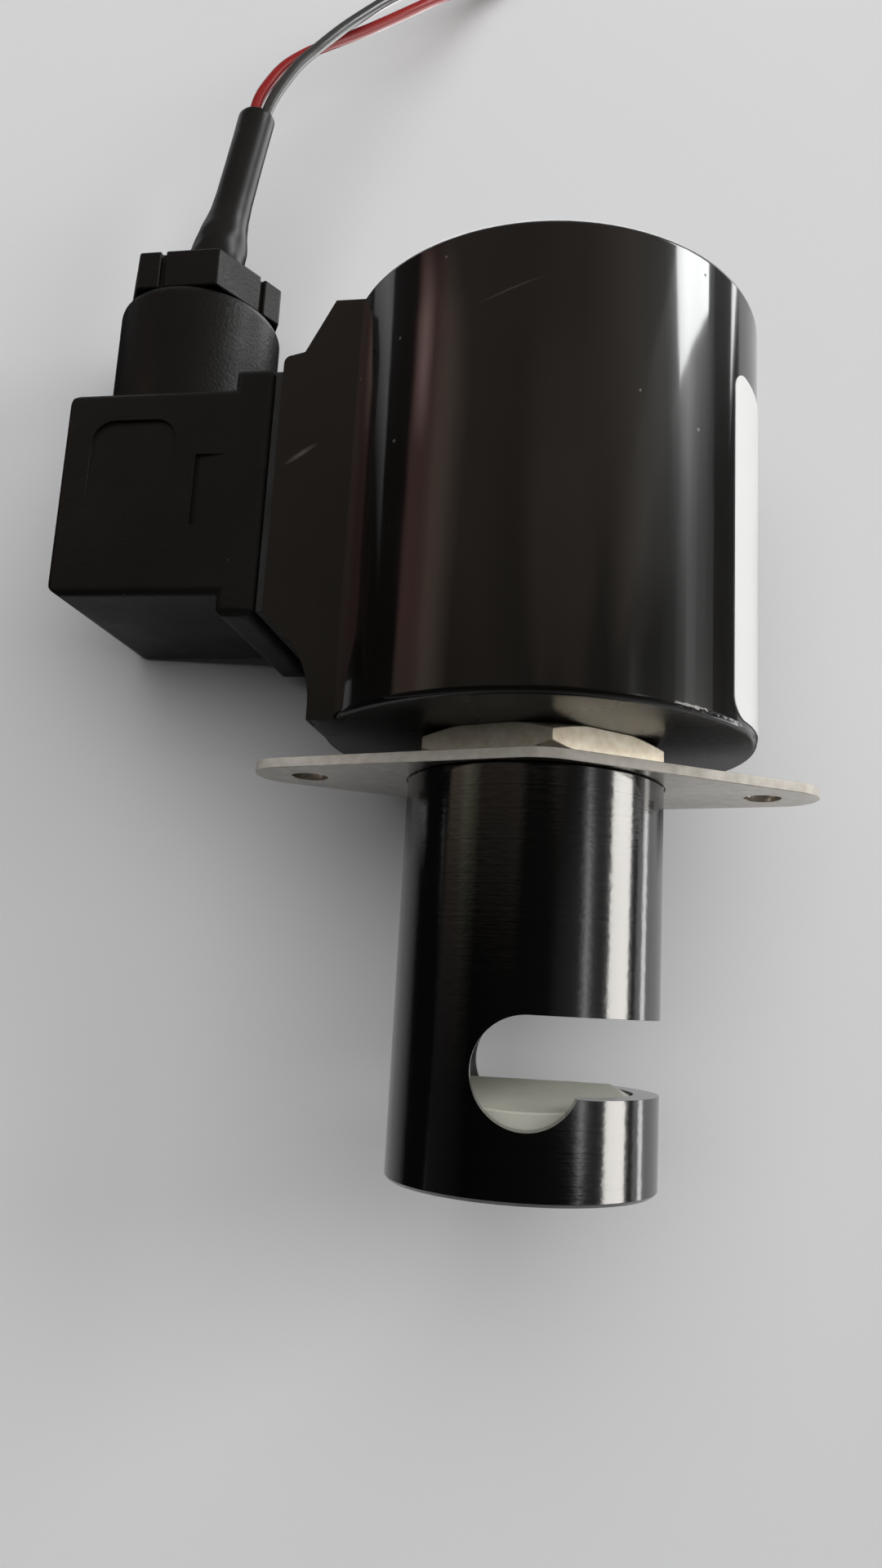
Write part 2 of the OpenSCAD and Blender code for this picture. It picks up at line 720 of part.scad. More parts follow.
module tube_slot() {
    translate([0, 0, -tube_hole_depth])
        rotate([90, 0, 0]) cylinder(h = nose_d + 2 * cut, d = tube_hole_d, center = true);
    translate([0, -nose_d / 2 - cut, lip_z]) cube([nose_d, nose_d + 2 * cut, mouth_h]);
}

module nose_body() {
    r = nose_d / 2;
    color(black_anodised) on_nose()
        difference() {
            rotate_extrude() polygon([
                [0, -nose_len], [r - nose_chamfer, -nose_len], [r, -nose_len + nose_chamfer],
                [r, plate_seat - nose_chamfer], [r - nose_chamfer, plate_seat], [0, plate_seat]
            ]);
            translate([0, 0, floor_z]) cylinder(h = nose_len, r = nose_bore_r);
            tube_slot();
            translate([0, 0, -nose_len - cut]) cylinder(h = nose_floor + 2 * cut, d = screw_hole_d);
            translate([0, 0, -nose_len])
                cylinder(h = screw_head_h + fit_gap, d1 = screw_head_d + 2 * fit_gap, d2 = anvil_screw_d);
        }
}

// Roof outline across the tube: flat foot, two slopes and a rounded ridge, with the ridge at height 0
function roof_outline(half_w, depth) =
    let (
        slope = atan(roof_fall / half_w),
        ridge = arc([0, -ridge_r], ridge_r, 90 - slope, 90 + slope, 6)
    )
    concat([[-half_w, -depth], [half_w, -depth], [half_w, -roof_fall]], ridge, [[-half_w, -roof_fall]]);

module roof_bar(half_w, depth) {
    rotate([90, 0, 90])
        linear_extrude(2 * half_w, center = true) polygon(roof_outline(half_w, depth));
}

module anvil() {
    r = nose_bore_r - fit_gap;
    depth = ridge_z - floor_z;
    color(white_plastic) on_nose()
        difference() {
            intersection() {
                translate([0, 0, ridge_z]) roof_bar(r, depth);
                translate([0, 0, floor_z])
                    rotate_extrude() polygon([
                        [0, 0], [r, 0], [r, depth - anvil_chamfer / 2],
                        [r - anvil_chamfer, depth], [0, depth]
                    ]);
            }
            translate([0, 0, floor_z - cut])
                cylinder(h = anvil_screw_len - nose_floor + 2 * cut, d = screw_hole_d);
        }
}

module anvil_screw() {
    color(steel) on_nose() translate([0, 0, -nose_len]) {
        cylinder(h = screw_head_h, d1 = screw_head_d, d2 = anvil_screw_d);
        cylinder(h = anvil_screw_len, d = anvil_screw_d);
    }
}

// Plunger

module armature() {
    color(zinc) on_nose()
        difference() {
            translate([0, 0, armature_z0]) cylinder(h = armature_len, r = armature_r);
            translate([0, 0, armature_z0 - cut]) cylinder(h = armature_grip + cut, r = rod_r + fit_gap);
        }
}

module push_rod() {
    color(steel) on_nose()
        difference() {
            translate([0, 0, rod_z0]) cylinder(h = rod_z1 - rod_z0, r = rod_r);
            translate([0, 0, head_pin_z])
                rotate([90, 0, 0])
                    cylinder(h = rod_d + 2 * cut, d = head_pin_d + 2 * fit_gap, center = true);
        }
}

module pinch_head() {
    r = nose_bore_r - run_gap;
    len = head_z1 - head_z0;
    color(white_plastic) on_nose()
        difference() {
            intersection() {
                translate([0, 0, head_z0]) rotate([180, 0, 0]) roof_bar(r, len);
                translate([0, 0, head_z0]) cylinder(h = len, r = r);
            }
            translate([0, 0, rod_z0]) cylinder(h = len, r = rod_r + fit_gap);
            translate([0, 0, head_pin_z])
                rotate([90, 0, 0]) cylinder(h = nose_d, d = head_pin_d + 2 * fit_gap, center = true);
        }
}

module head_pin() {
    color(steel) on_nose() translate([0, 0, head_pin_z])
        rotate([90, 0, 0]) cylinder(h = nose_bore_d - 2 * head_pin_inset, d = head_pin_d, center = true);
}

module return_spring() {
    r = (spring_d - spring_wire_d) / 2;
    rise = armature_z0 - spring_z - spring_wire_d - 2 * fit_gap;
    n = spring_turns * spring_steps;
    path = [for (i = [0 : n]) let (a = 360 * i / spring_steps)
        [r * cos(a), r * sin(a), spring_z + fit_gap + spring_wire_d / 2 + rise * i / n]];
    color(steel) on_plate() swept(path, spring_wire_d / 2, 8);
}

// Plug and terminals

module terminal_blades() {
    color(zinc) on_coil()
        at_blades() blade_bar(block_reach - blade_root, block_reach + blade_len, blade_w, blade_t);
}

module socket_contacts() {
    color(brass) on_coil() at_blades()
        difference() {
            blade_bar(insert_x0, block_reach + blade_len + fit_gap, socket_w, socket_h);
            blade_bar(insert_x0 - cut, block_reach + blade_len + cut,
                blade_w + 2 * fit_gap, blade_t + 2 * fit_gap);
        }
}

module plug_insert() {
    color(black_matte) on_coil()
        difference() {
            plug_box(insert_x0, insert_x1, cavity_w - 2 * fit_gap, cavity_h - 2 * fit_gap);
            at_blades() blade_bar(insert_x0 - cut, insert_x1 - insert_wall, socket_w, socket_h);
            plug_bar(insert_x0 - cut, insert_x1 + cut, plug_screw_d + 2 * free_gap);
        }
}

module connector_gasket() {
    color(rubber_black) on_coil()
        difference() {
            plug_box(block_reach, gasket_x, plug_w - 2 * gasket_inset, flange_h - 2 * gasket_inset);
            plug_box(block_reach - cut, gasket_x + cut, cavity_w, cavity_h);
        }
}

module barrel() {
    r = barrel_d / 2;
    translate([-barrel_x, 0, 0])
        rotate_extrude() {
            translate([0, barrel_z - plug_wall / 2]) square([r - barrel_rim_r, barrel_h + plug_wall / 2]);
            translate([0, barrel_z - plug_wall / 2]) square([r, barrel_h + plug_wall / 2 - barrel_rim_r]);
            translate([r - barrel_rim_r, barrel_top_z - barrel_rim_r]) circle(barrel_rim_r);
        }
}

// Recesses on both sides of the plug, each with a sloping floor: a wide one, deepest at its top, and a
// latch window by the flange, deepest at its back
module side_panels() {
    side_y = plug_w / 2;
    floor_y = side_y - panel_depth;
    window_x = flange_x + window_w;
    panel_x0 = window_x + panel_gap;
    panel_x1 = plug_reach - panel_margin;
    panel_top = panel_h / 2;
    for (side = [0, 1]) mirror([0, side, 0]) {
        translate([-(panel_x0 + panel_x1) / 2, 0, plug_z])
            intersection() {
                rotate([90, 0, 90]) linear_extrude(panel_x1 - panel_x0, center = true)
                    polygon([
                        [side_y + cut, panel_top], [floor_y, panel_top], [side_y, panel_top - panel_slope],
                        [side_y + cut, panel_top - panel_slope]
                    ]);
                rotate([90, 0, 0]) linear_extrude(plug_w + 2 * cut, center = true)
                    rounded_rect([panel_x1 - panel_x0, panel_h], panel_corner_r);
            }
        translate([0, 0, plug_z]) linear_extrude(window_h, center = true)
            polygon([
                [-window_x, side_y + cut], [-window_x, floor_y],
                [-flange_x, side_y], [-flange_x, side_y + cut]
            ]);
    }
}

module plug_housing() {
    color(black_matte) on_coil()
        difference() {
            union() {
                rounded_block(
                    gasket_x + plug_edge_r, plug_reach, plug_w, plug_h,
                    plug_edge_r, plug_edge_r, plug_corner_r);
                rounded_block(
                    gasket_x, flange_x, plug_w, flange_h, plug_edge_r, flange_corner_r, flange_corner_r);
                barrel();
            }
            plug_box(gasket_x - cut, plug_reach - 2 * plug_wall, cavity_w, cavity_h);
            plug_bar(gasket_x, plug_reach, plug_screw_d + 2 * free_gap);
            plug_bar(screw_seat_x, plug_reach + cut, plug_screw_head_d + 2 * free_gap);
            translate([-barrel_x, 0, grommet_z]) cylinder(h = barrel_h, d = barrel_bore_d);
            translate([-barrel_x, 0, plug_z]) cylinder(h = barrel_h + plug_h, d = cable_bore_d);
            side_panels();
        }
}

module plug_screw() {
    slot_w = plug_screw_d / 4;
    color(steel) on_coil()
        difference() {
            union() {
                plug_bar(block_reach - blade_root, screw_seat_x, plug_screw_d);
                plug_bar(screw_seat_x, plug_reach - fit_gap, plug_screw_head_d);
            }
            plug_box(plug_reach - plug_wall / 2, plug_reach + cut, plug_screw_head_d + cut, slot_w);
        }
}

// Gland, sleeve and leads

// Notches lie by turns on one side of their flat and on the other
function notch_y(i) = (i % 2 == 0 ? -1 : 1) * gland_notch_at - gland_notch_w / 2;

module gland_nut() {
    corner_r = gland_nut_af / 2 / cos(30);
    shank_r = barrel_bore_d / 2 - fit_gap;
    color(black_matte) on_coil() translate([-barrel_x, 0, 0])
        difference() {
            union() {
                translate([0, 0, barrel_top_z + fit_gap])
                    rotate([0, 0, gland_nut_turn - 30]) cylinder(h = gland_nut_h, r = corner_r, $fn = 6);
                translate([0, 0, shank_z]) cylinder(h = gland_shank + gland_nut_h / 2, r = shank_r);
            }
            translate([0, 0, shank_z - cut])
                cylinder(h = gland_shank + gland_nut_h + 2 * cut, d = cable_bore_d);
            for (i = [0 : 5]) rotate([0, 0, gland_nut_turn + 60 * i])
                translate([gland_nut_af / 2 - gland_notch_depth, notch_y(i), barrel_top_z])
                    cube([corner_r, gland_notch_w, gland_nut_h + 2 * cut]);
        }
}

module gland_washer() {
    color(steel) on_coil() translate([-barrel_x, 0, 0])
        tube(shank_z - gland_washer_t, shank_z, cable_bore_d / 2, barrel_bore_d / 2 - fit_gap);
}

module gland_grommet() {
    color(rubber_black) on_coil() translate([-barrel_x, 0, 0])
        tube(grommet_z, grommet_z + grommet_len, cable_bore_d / 2, barrel_bore_d / 2 - fit_gap);
}

module shrink_sleeve() {
    base_r = sleeve_base_d / 2;
    r = sleeve_d / 2;
    color(rubber_black) on_coil() translate([-barrel_x, 0, 0]) {
        translate([0, 0, grommet_z])
            cylinder(h = sleeve_bend_z + base_r / 4 - grommet_z, d = sleeve_pass_d);
        translate([0, 0, sleeve_bend_z])
            rotate([0, sleeve_lean, 0])
                rotate_extrude() polygon([
                    [0, 0], [base_r, 0], [base_r, sleeve_flare / 3],
                    [r, sleeve_flare], [r, sleeve_len], [0, sleeve_len]
                ]);
    }
}

module lead_red() {
    color(red_insulation) swept(smooth(red_path, route_steps), lead_d / 2, lead_sides);
}

module lead_black() {
    color(black_matte) swept(smooth(black_path, route_steps), lead_d / 2, lead_sides);
}

module lead_coil(z) {
    translate(LEAD_COIL_CENTRE) tube(z, z + lead_d, lead_coil_inner_r, lead_coil_outer_r);
}

module lead_red_coil() {
    color(red_insulation) lead_coil(red_coil_z);
}

module lead_black_coil() {
    color(black_matte) lead_coil(black_coil_z);
}

// A flat band round both coils, on the side away from the valve
module lead_tie() {
    inner = [lead_coil_outer_r - lead_coil_inner_r + 2 * fit_gap, 2 * lead_d + 2 * fit_gap];
    middle_r = (lead_coil_outer_r + lead_coil_inner_r) / 2;
    color(white_plastic)
        translate([LEAD_COIL_CENTRE.x, LEAD_COIL_CENTRE.y + middle_r, black_coil_z])
            rotate([90, 0, 90]) linear_extrude(tie_w, center = true)
                difference() {
                    square(inner + [2 * tie_t, 2 * tie_t], center = true);
                    square(inner, center = true);
                }
}

// Bare ends that lie just inside each coil
module lead_tips() {
    tip_r = lead_d / 3;
    reach = lead_coil_inner_r - tip_r - fit_gap;
    off = sqrt(reach ^ 2 - (lead_tip_len / 2) ^ 2);
    color(zinc) translate(LEAD_COIL_CENTRE) rotate([0, 0, lead_tip_turn])
        for (z = [red_coil_z, black_coil_z])
            translate([off, 0, z + lead_d / 2])
                rotate([90, 0, 0]) cylinder(h = lead_tip_len, r = tip_r, center = true);
}

coil_housing();
coil_winding();
coil_bobbin();
yoke_tube();
lower_pole_plate();
upper_pole_plate();
guide_tube();
fixed_core();
guide_bush();
rod_seal();
tube_end_plug();
coil_washer();
coil_retaining_nut();
body_nut();
mounting_plate();
nose_body();
anvil();
anvil_screw();
armature();
push_rod();
pinch_head();
head_pin();
return_spring();
terminal_blades();
socket_contacts();
connector_gasket();
plug_housing();
plug_insert();
plug_screw();
gland_nut();
gland_washer();
gland_grommet();
shrink_sleeve();
label();
lead_red();
lead_black();
lead_red_coil();
lead_black_coil();
lead_tie();
lead_tips();
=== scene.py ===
"""Looks of a solenoid pinch valve on a table: rounded edges, finishes, leads, light and camera."""

import json
import math

import bmesh
import bpy
from mathutils import Matrix, Vector


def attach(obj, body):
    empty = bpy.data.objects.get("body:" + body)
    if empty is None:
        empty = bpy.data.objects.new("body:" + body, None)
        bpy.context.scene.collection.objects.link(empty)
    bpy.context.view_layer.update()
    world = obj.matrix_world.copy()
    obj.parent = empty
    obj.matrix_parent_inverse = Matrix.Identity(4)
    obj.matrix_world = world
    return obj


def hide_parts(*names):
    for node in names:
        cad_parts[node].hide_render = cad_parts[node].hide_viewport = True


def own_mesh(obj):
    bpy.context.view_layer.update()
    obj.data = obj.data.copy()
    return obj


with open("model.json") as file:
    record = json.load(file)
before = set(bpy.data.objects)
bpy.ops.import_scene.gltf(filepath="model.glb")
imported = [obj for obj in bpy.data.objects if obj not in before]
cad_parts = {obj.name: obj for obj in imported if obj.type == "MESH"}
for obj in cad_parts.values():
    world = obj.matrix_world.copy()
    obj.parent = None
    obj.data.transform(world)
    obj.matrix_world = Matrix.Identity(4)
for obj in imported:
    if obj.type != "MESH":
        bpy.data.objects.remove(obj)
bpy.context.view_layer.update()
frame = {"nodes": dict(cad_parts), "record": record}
nodes = frame["nodes"]

# Sizes of the valve are written in millimetres, and this turns them into metres
MM = 0.001
BODY = "valve"

# Sizes and places as in the part's source, from the axis and from the plate's panel face
COIL_D = 54
COIL_TURN = 8
PLUG_REACH = 62.3
PLUG_W = 27.4
PLUG_EDGE_R = 1.1
BARREL_X = 50.5
SLEEVE_BEND_Z = 73.26
SLEEVE_LEAN = math.radians(9.5)
SLEEVE_LEN = 29.3
SPRING_Z = 10
SPRING_TOP_Z = 30.2
SPRING_D = 11.4
SPRING_WIRE_D = 1.3
SPRING_TURNS = 7
STUD_D = 10
STUD_TOP_Z = 69.3
TOP_NUT_Z = 67.9
TABLE_Z = -COIL_D / 2

# The valve lies where the coil and the plug's edge touch the table
edge_reach = PLUG_REACH - PLUG_EDGE_R
edge_side = PLUG_W / 2 - PLUG_EDGE_R
edge_turn = math.asin((COIL_D / 2 - PLUG_EDGE_R) / math.hypot(edge_reach, edge_side))
COIL_ROLL = edge_turn - math.atan2(edge_side, edge_reach)
PLATE_ROLL = COIL_ROLL - math.radians(COIL_TURN)


def laid(roll):
    """From the upright drawing to the valve as it lies."""
    cosine = math.cos(roll)
    sine = math.sin(roll)
    return Matrix(((cosine, sine, 0, 0), (0, 0, 1, 0), (sine, -cosine, 0, 0), (0, 0, 0, 1)))


def new_object(name, data):
    """An object in the scene."""
    thing = bpy.data.objects.new(name, data)
    bpy.context.scene.collection.objects.link(thing)
    return thing


# Finishes


def new_finish(name, colour, roughness, metallic=0.0, specular=0.5):
    """A material with its constant values on the shader, and the tree to add detail to."""
    finish = bpy.data.materials.new(name)
    finish.use_nodes = True
    tree = finish.node_tree
    shader = tree.nodes["Principled BSDF"]
    shader.inputs["Base Color"].default_value = (*colour, 1)
    shader.inputs["Roughness"].default_value = roughness
    shader.inputs["Metallic"].default_value = metallic
    shader.inputs["Specular IOR Level"].default_value = specular
    return finish, tree, shader


def place(tree, stretch=(1, 1, 1)):
    """The object's own coordinates, stretched."""
    where = tree.nodes.new("ShaderNodeTexCoord")
    mapping = tree.nodes.new("ShaderNodeMapping")
    mapping.inputs["Scale"].default_value = stretch
    tree.links.new(where.outputs["Object"], mapping.inputs["Vector"])
    return mapping.outputs["Vector"]


def cloudy(tree, vector, scale, detail=3.0, rough=0.5):
    """Cloudy noise, mostly between 0.3 and 0.7."""
    noise = tree.nodes.new("ShaderNodeTexNoise")
    noise.inputs["Scale"].default_value = scale
    noise.inputs["Detail"].default_value = detail
    noise.inputs["Roughness"].default_value = rough
    tree.links.new(vector, noise.inputs["Vector"])
    return noise.outputs["Fac"]


def spread(tree, value, low, high, start=0.3, end=0.7):
    """A value between start and end, spread to run from low to high."""
    ranged = tree.nodes.new("ShaderNodeMapRange")
    ranged.inputs["From Min"].default_value = start
    ranged.inputs["From Max"].default_value = end
    ranged.inputs["To Min"].default_value = low
    ranged.inputs["To Max"].default_value = high
    tree.links.new(value, ranged.inputs["Value"])
    return ranged.outputs["Result"]


def between(tree, factor, first, second):
    """A colour between two, each a colour or a socket."""
    mix = tree.nodes.new("ShaderNodeMix")
    mix.data_type = "RGBA"
    tree.links.new(factor, mix.inputs["Factor"])
    for socket, colour in ((mix.inputs["A"], first), (mix.inputs["B"], second)):
        if isinstance(colour, tuple):
            socket.default_value = (*colour, 1)
        else:
            tree.links.new(colour, socket)
    return mix.outputs["Result"]


def computed(tree, operation, first, second):
    """The result of a Math node. Each of its two values is a number or a socket."""
    node = tree.nodes.new("ShaderNodeMath")
    node.operation = operation
    for socket, value in zip(node.inputs, (first, second)):
        if isinstance(value, (int, float)):
            socket.default_value = value
        else:
            tree.links.new(value, socket)
    return node.outputs["Value"]


def added(tree, first, second):
    return computed(tree, "ADD", first, second)


def times(tree, first, second):
    return computed(tree, "MULTIPLY", first, second)


def relief(tree, shader, height, depth, strength=1.0):
    """Bumps on a surface and on its clear skin. Depth is in metres."""
    bump = tree.nodes.new("ShaderNodeBump")
    bump.inputs["Distance"].default_value = depth
    bump.inputs["Strength"].default_value = strength
    tree.links.new(height, bump.inputs["Height"])
    tree.links.new(bump.outputs["Normal"], shader.inputs["Normal"])
    tree.links.new(bump.outputs["Normal"], shader.inputs["Coat Normal"])


def specks(tree, vector, scale, size, share):
    """Small round marks, a share of the cells of a fine net holding one each."""
    full_share = 0.6
    cut_width = 0.01
    net = tree.nodes.new("ShaderNodeTexVoronoi")
    net.inputs["Scale"].default_value = scale
    tree.links.new(vector, net.inputs["Vector"])
    near = spread(tree, net.outputs["Distance"], 1, 0, size * full_share, size)
    chosen = spread(tree, net.outputs["Color"], 0, 1, 1 - share, 1 - share + cut_width)
    return times(tree, near, chosen)


def scuff(tree, centre, turn, size):
    """One rubbed mark, turned about Z: full in its middle, gone at its edge. Lengths are in millimetres."""
    full_share = 0.2
    where = tree.nodes.new("ShaderNodeTexCoord")
    mapping = tree.nodes.new("ShaderNodeMapping")
    mapping.vector_type = "TEXTURE"
    mapping.inputs["Location"].default_value = [c * MM for c in centre]
    mapping.inputs["Rotation"].default_value = (0, 0, turn)
    mapping.inputs["Scale"].default_value = [s * MM for s in size]
    tree.links.new(where.outputs["Object"], mapping.inputs["Vector"])
    reach = tree.nodes.new("ShaderNodeVectorMath")
    reach.operation = "LENGTH"
    tree.links.new(mapping.outputs["Vector"], reach.inputs[0])
    return spread(tree, reach.outputs["Value"], 1, 0, full_share, 1)


def facing_along(tree):
    """How far a surface faces along the valve's axis: 1 toward its back end, -1 toward its nose."""
    facing = tree.nodes.new("ShaderNodeNewGeometry")
    split = tree.nodes.new("ShaderNodeSeparateXYZ")
    tree.links.new(facing.outputs["Normal"], split.inputs["Vector"])
    return split.outputs["Y"]


def gloss_moulding():
    """Black moulding under a clear glossy skin, faintly drawn along the axis, with marks and dust."""
    finish, tree, shader = new_finish(
        "gloss_moulding", (0.0035, 0.0031, 0.0028), roughness=0.35, specular=0.06)
    here = place(tree)
    haze = cloudy(tree, here, scale=55, detail=5.0)
    dust = specks(tree, here, scale=260, size=0.065, share=0.5)
    rubbed = scuff(tree, centre=(-32, 39.1, 7.3), turn=math.radians(35), size=(2.6, 0.4, 3))
    scratch = scuff(tree, centre=(-8.4, 51.6, 25.5), turn=math.radians(20), size=(5, 0.16, 3))
    worn = added(tree, times(tree, rubbed, 0.6), times(tree, scratch, 0.3))
    marks = added(tree, dust, worn)
    shade = between(tree, spread(tree, haze, 0, 1), (0.0030, 0.0026, 0.0022), (0.0048, 0.0042, 0.0036))
    tree.links.new(between(tree, marks, shade, (0.09, 0.085, 0.08)), shader.inputs["Base Color"])
    skin = added(tree, spread(tree, haze, 0.05, 0.11), times(tree, marks, 0.4))
    # The end that faces the plate has a duller and thinner skin
    toward_plate = spread(tree, facing_along(tree), 1, 0, start=-0.95, end=-0.7)
    dull = times(tree, toward_plate, 0.2)
    tree.links.new(added(tree, skin, dull), shader.inputs["Coat Roughness"])
    tree.links.new(spread(tree, toward_plate, 1.0, 0.6, start=0, end=1), shader.inputs["Coat Weight"])
    drawn_lines = times(tree, cloudy(tree, place(tree, (1, 0.03, 1)), scale=1300, detail=2.0), 0.02)
    unevenness = cloudy(tree, here, scale=70, detail=1.0)
    relief(tree, shader, added(tree, unevenness, drawn_lines), depth=0.00008)
    return finish


def matte_moulding():
    """Fine-grained black moulding with a little dust."""
    finish, tree, shader = new_finish(
        "matte_moulding", (0.005, 0.0047, 0.0043), roughness=0.46, specular=0.24)
    here = place(tree)
    worn = spread(tree, cloudy(tree, here, scale=70, detail=4.0), 0, 1)
    tone = between(tree, worn, (0.0040, 0.0037, 0.0034), (0.0060, 0.0055, 0.0050))
    dust = specks(tree, here, scale=230, size=0.035, share=0.35)
    tree.links.new(between(tree, dust, tone, (0.05, 0.047, 0.043)), shader.inputs["Base Color"])
    tree.links.new(spread(tree, cloudy(tree, here, scale=120), 0.40, 0.52), shader.inputs["Roughness"])
    grain = cloudy(tree, here, scale=2000, detail=2.0, rough=0.6)
    relief(tree, shader, grain, depth=0.00009, strength=0.8)
    return finish


def anodised_turning():
    """Black anodised metal with the fine rings and the chatter that turning leaves."""
    finish, tree, shader = new_finish(
        "anodised_turning", (0.0012, 0.0012, 0.0011), roughness=0.12, specular=1.0)
    shader.inputs["IOR"].default_value = 1.6
    round_the_axis = (0.002, 1, 0.002)
    rings = cloudy(tree, place(tree, round_the_axis), scale=2600, rough=0.6)
    wide = cloudy(tree, place(tree, round_the_axis), scale=400, detail=2.0)
    tone = between(tree, spread(tree, wide, 0, 1), (0.0009, 0.0009, 0.0008), (0.0016, 0.0015, 0.0014))
    tree.links.new(tone, shader.inputs["Base Color"])
    tree.links.new(spread(tree, rings, 0.10, 0.15), shader.inputs["Roughness"])
    chatter = times(tree, cloudy(tree, place(tree, (0.6, 1, 0.6)), scale=1300, detail=2.0), 1.7)
    relief(tree, shader, added(tree, rings, chatter), depth=0.000008)
    return finish


def metal_stains(tree):
    """Broad stains and small worn spots, from 0 where it is darkest to 1."""
    broad = spread(tree, cloudy(tree, place(tree), scale=90, detail=4.0), 0, 0.5)
    small = spread(tree, cloudy(tree, place(tree), scale=650), 0, 0.5)
    return added(tree, broad, small)


def brushed_metal(name, dark, light, roughness, stretch, scale, metallic=1.0):
    """Metal with fine lines that run one way, and faint stains."""
    finish, tree, shader = new_finish(name, light, roughness[0], metallic)
    lines = cloudy(tree, place(tree, stretch), scale, detail=4.0, rough=0.6)
    tree.links.new(between(tree, metal_stains(tree), dark, light), shader.inputs["Base Color"])
    tree.links.new(spread(tree, lines, *roughness), shader.inputs["Roughness"])
    relief(tree, shader, lines, depth=0.00002, strength=0.3)
    return finish


def distance_along(tree, direction):
    """How far a spot lies from the valve's axis along a direction, either way."""
    node = tree.nodes.new("ShaderNodeVectorMath")
    node.operation = "DOT_PRODUCT"
    node.inputs[1].default_value = direction
    tree.links.new(place(tree), node.inputs[0])
    return computed(tree, "ABSOLUTE", node.outputs["Value"], 0)


def punched_sheet():
    """Brushed stainless sheet whose cut rim is rougher and duller than its faces."""
    dark = (0.37, 0.335, 0.285)
    light = (0.66, 0.625, 0.57)
    # Where the screw holes have ended, from the axis along the plate and to each side, in metres
    past_holes = (0.0315, 0.0325)
    beside_holes = (0.0030, 0.0036)
    finish, tree, shader = new_finish("punched_sheet", light, 0.25)
    lines = cloudy(tree, place(tree, (0.1, 1, 1)), scale=1800, detail=4.0, rough=0.6)
    tree.links.new(between(tree, metal_stains(tree), dark, light), shader.inputs["Base Color"])
    rim = spread(tree, computed(tree, "POWER", facing_along(tree), 2), 1, 0, start=0.2, end=0.8)
    # The walls of the screw holes keep the bright finish of the faces
    along = distance_along(tree, (math.cos(PLATE_ROLL), 0, math.sin(PLATE_ROLL)))
    across = distance_along(tree, (-math.sin(PLATE_ROLL), 0, math.cos(PLATE_ROLL)))
    beyond = spread(tree, along, 0, 1, *past_holes)
    beside = spread(tree, across, 0, 1, *beside_holes)
    rim = times(tree, rim, computed(tree, "MAXIMUM", beyond, beside))
    tree.links.new(spread(tree, rim, 0.95, 0.15, start=0, end=1), shader.inputs["Metallic"])
    rough = added(tree, spread(tree, lines, 0.18, 0.28), times(tree, rim, 0.25))
    tree.links.new(rough, shader.inputs["Roughness"])
    relief(tree, shader, lines, depth=0.00002, strength=0.3)
    return finish


def moulded(name, dark, light, roughness, scale, depth, specular=0.5):
    """A plain moulded, rubbery or milky surface with a faint unevenness."""
    finish, tree, shader = new_finish(name, light, roughness[0], 0.0, specular)
    here = place(tree)
    # The tone changes over wide patches, the gloss over smaller ones and the grain is the finest
    tone = between(tree, spread(tree, cloudy(tree, here, scale / 8, detail=4.0), 0, 1), dark, light)
    tree.links.new(tone, shader.inputs["Base Color"])
    tree.links.new(spread(tree, cloudy(tree, here, scale / 3), *roughness), shader.inputs["Roughness"])
    relief(tree, shader, cloudy(tree, here, scale), depth, strength=0.5)
    return finish


# A metal has two tones, a range of roughness, and the stretch and scale of its lines.
# The others have two tones, a range of roughness, and the scale and depth of their grain.
FINISHES = {
    "coil_plastic": gloss_moulding(),
    "plug_plastic": matte_moulding(),
    "anodised": anodised_turning(),
    "stainless": brushed_metal(
        "satin_stainless", (0.42, 0.395, 0.355), (0.52, 0.49, 0.445), (0.18, 0.28), (0.1, 1, 1), 1800,
        metallic=0.65),
    "soft_iron": brushed_metal(
        "ground_iron", (0.36, 0.36, 0.36), (0.46, 0.46, 0.45), (0.3, 0.42), (0.05, 1, 0.05), 1200),
    # The milky plastic is toned down to a grey: painted shade for the anvil, which lies down in the nose's
    # slot
    "white_plastic": moulded(
        "milky_plastic_painted_shade", (0.43, 0.43, 0.37), (0.49, 0.49, 0.42), (0.36, 0.46), 900, 0.00004),
    "nylon": moulded("natural_nylon", (0.62, 0.57, 0.46), (0.7, 0.66, 0.56), (0.4, 0.5), 700, 0.00003),
    "winding": brushed_metal(
        "enamelled_copper", (0.42, 0.15, 0.06), (0.52, 0.21, 0.08), (0.25, 0.4), (0.1, 1, 0.1), 2600),
    "brass": brushed_metal(
        "plain_brass", (0.54, 0.38, 0.14), (0.64, 0.47, 0.2), (0.25, 0.4), (0.1, 1, 0.1), 1500),
    "rubber": moulded(
        "black_rubber", (0.014, 0.014, 0.014), (0.022, 0.022, 0.022), (0.6, 0.75), 1400, 0.00004),
    "sleeve": moulded(
        "shrunk_sleeve", (0.007, 0.0066, 0.0066), (0.011, 0.0105, 0.0105), (0.30, 0.40), 420, 0.00005,
        specular=0.24),
    "red_insulation": moulded(
        "red_jacket", (0.23, 0.006, 0.006), (0.29, 0.009, 0.009), (0.3, 0.42), 800, 0.00002,
        specular=0.35),
    "black_insulation": moulded(
        "black_jacket", (0.020, 0.020, 0.020), (0.030, 0.030, 0.030), (0.25, 0.36), 800, 0.00002,
        specular=0.8),
    "label": moulded("label_film", (0.90, 0.90, 0.88), (0.94, 0.94, 0.92), (0.28, 0.36), 300, 0.00001),
    "tinned": brushed_metal(
        "tinned_wire", (0.55, 0.55, 0.54), (0.68, 0.68, 0.66), (0.25, 0.4), (1, 0.1, 1), 3000),
    "tie": moulded("tie_nylon", (0.74, 0.74, 0.71), (0.82, 0.82, 0.8), (0.35, 0.45), 600, 0.00003),
}
PLATE_FINISH = punched_sheet()
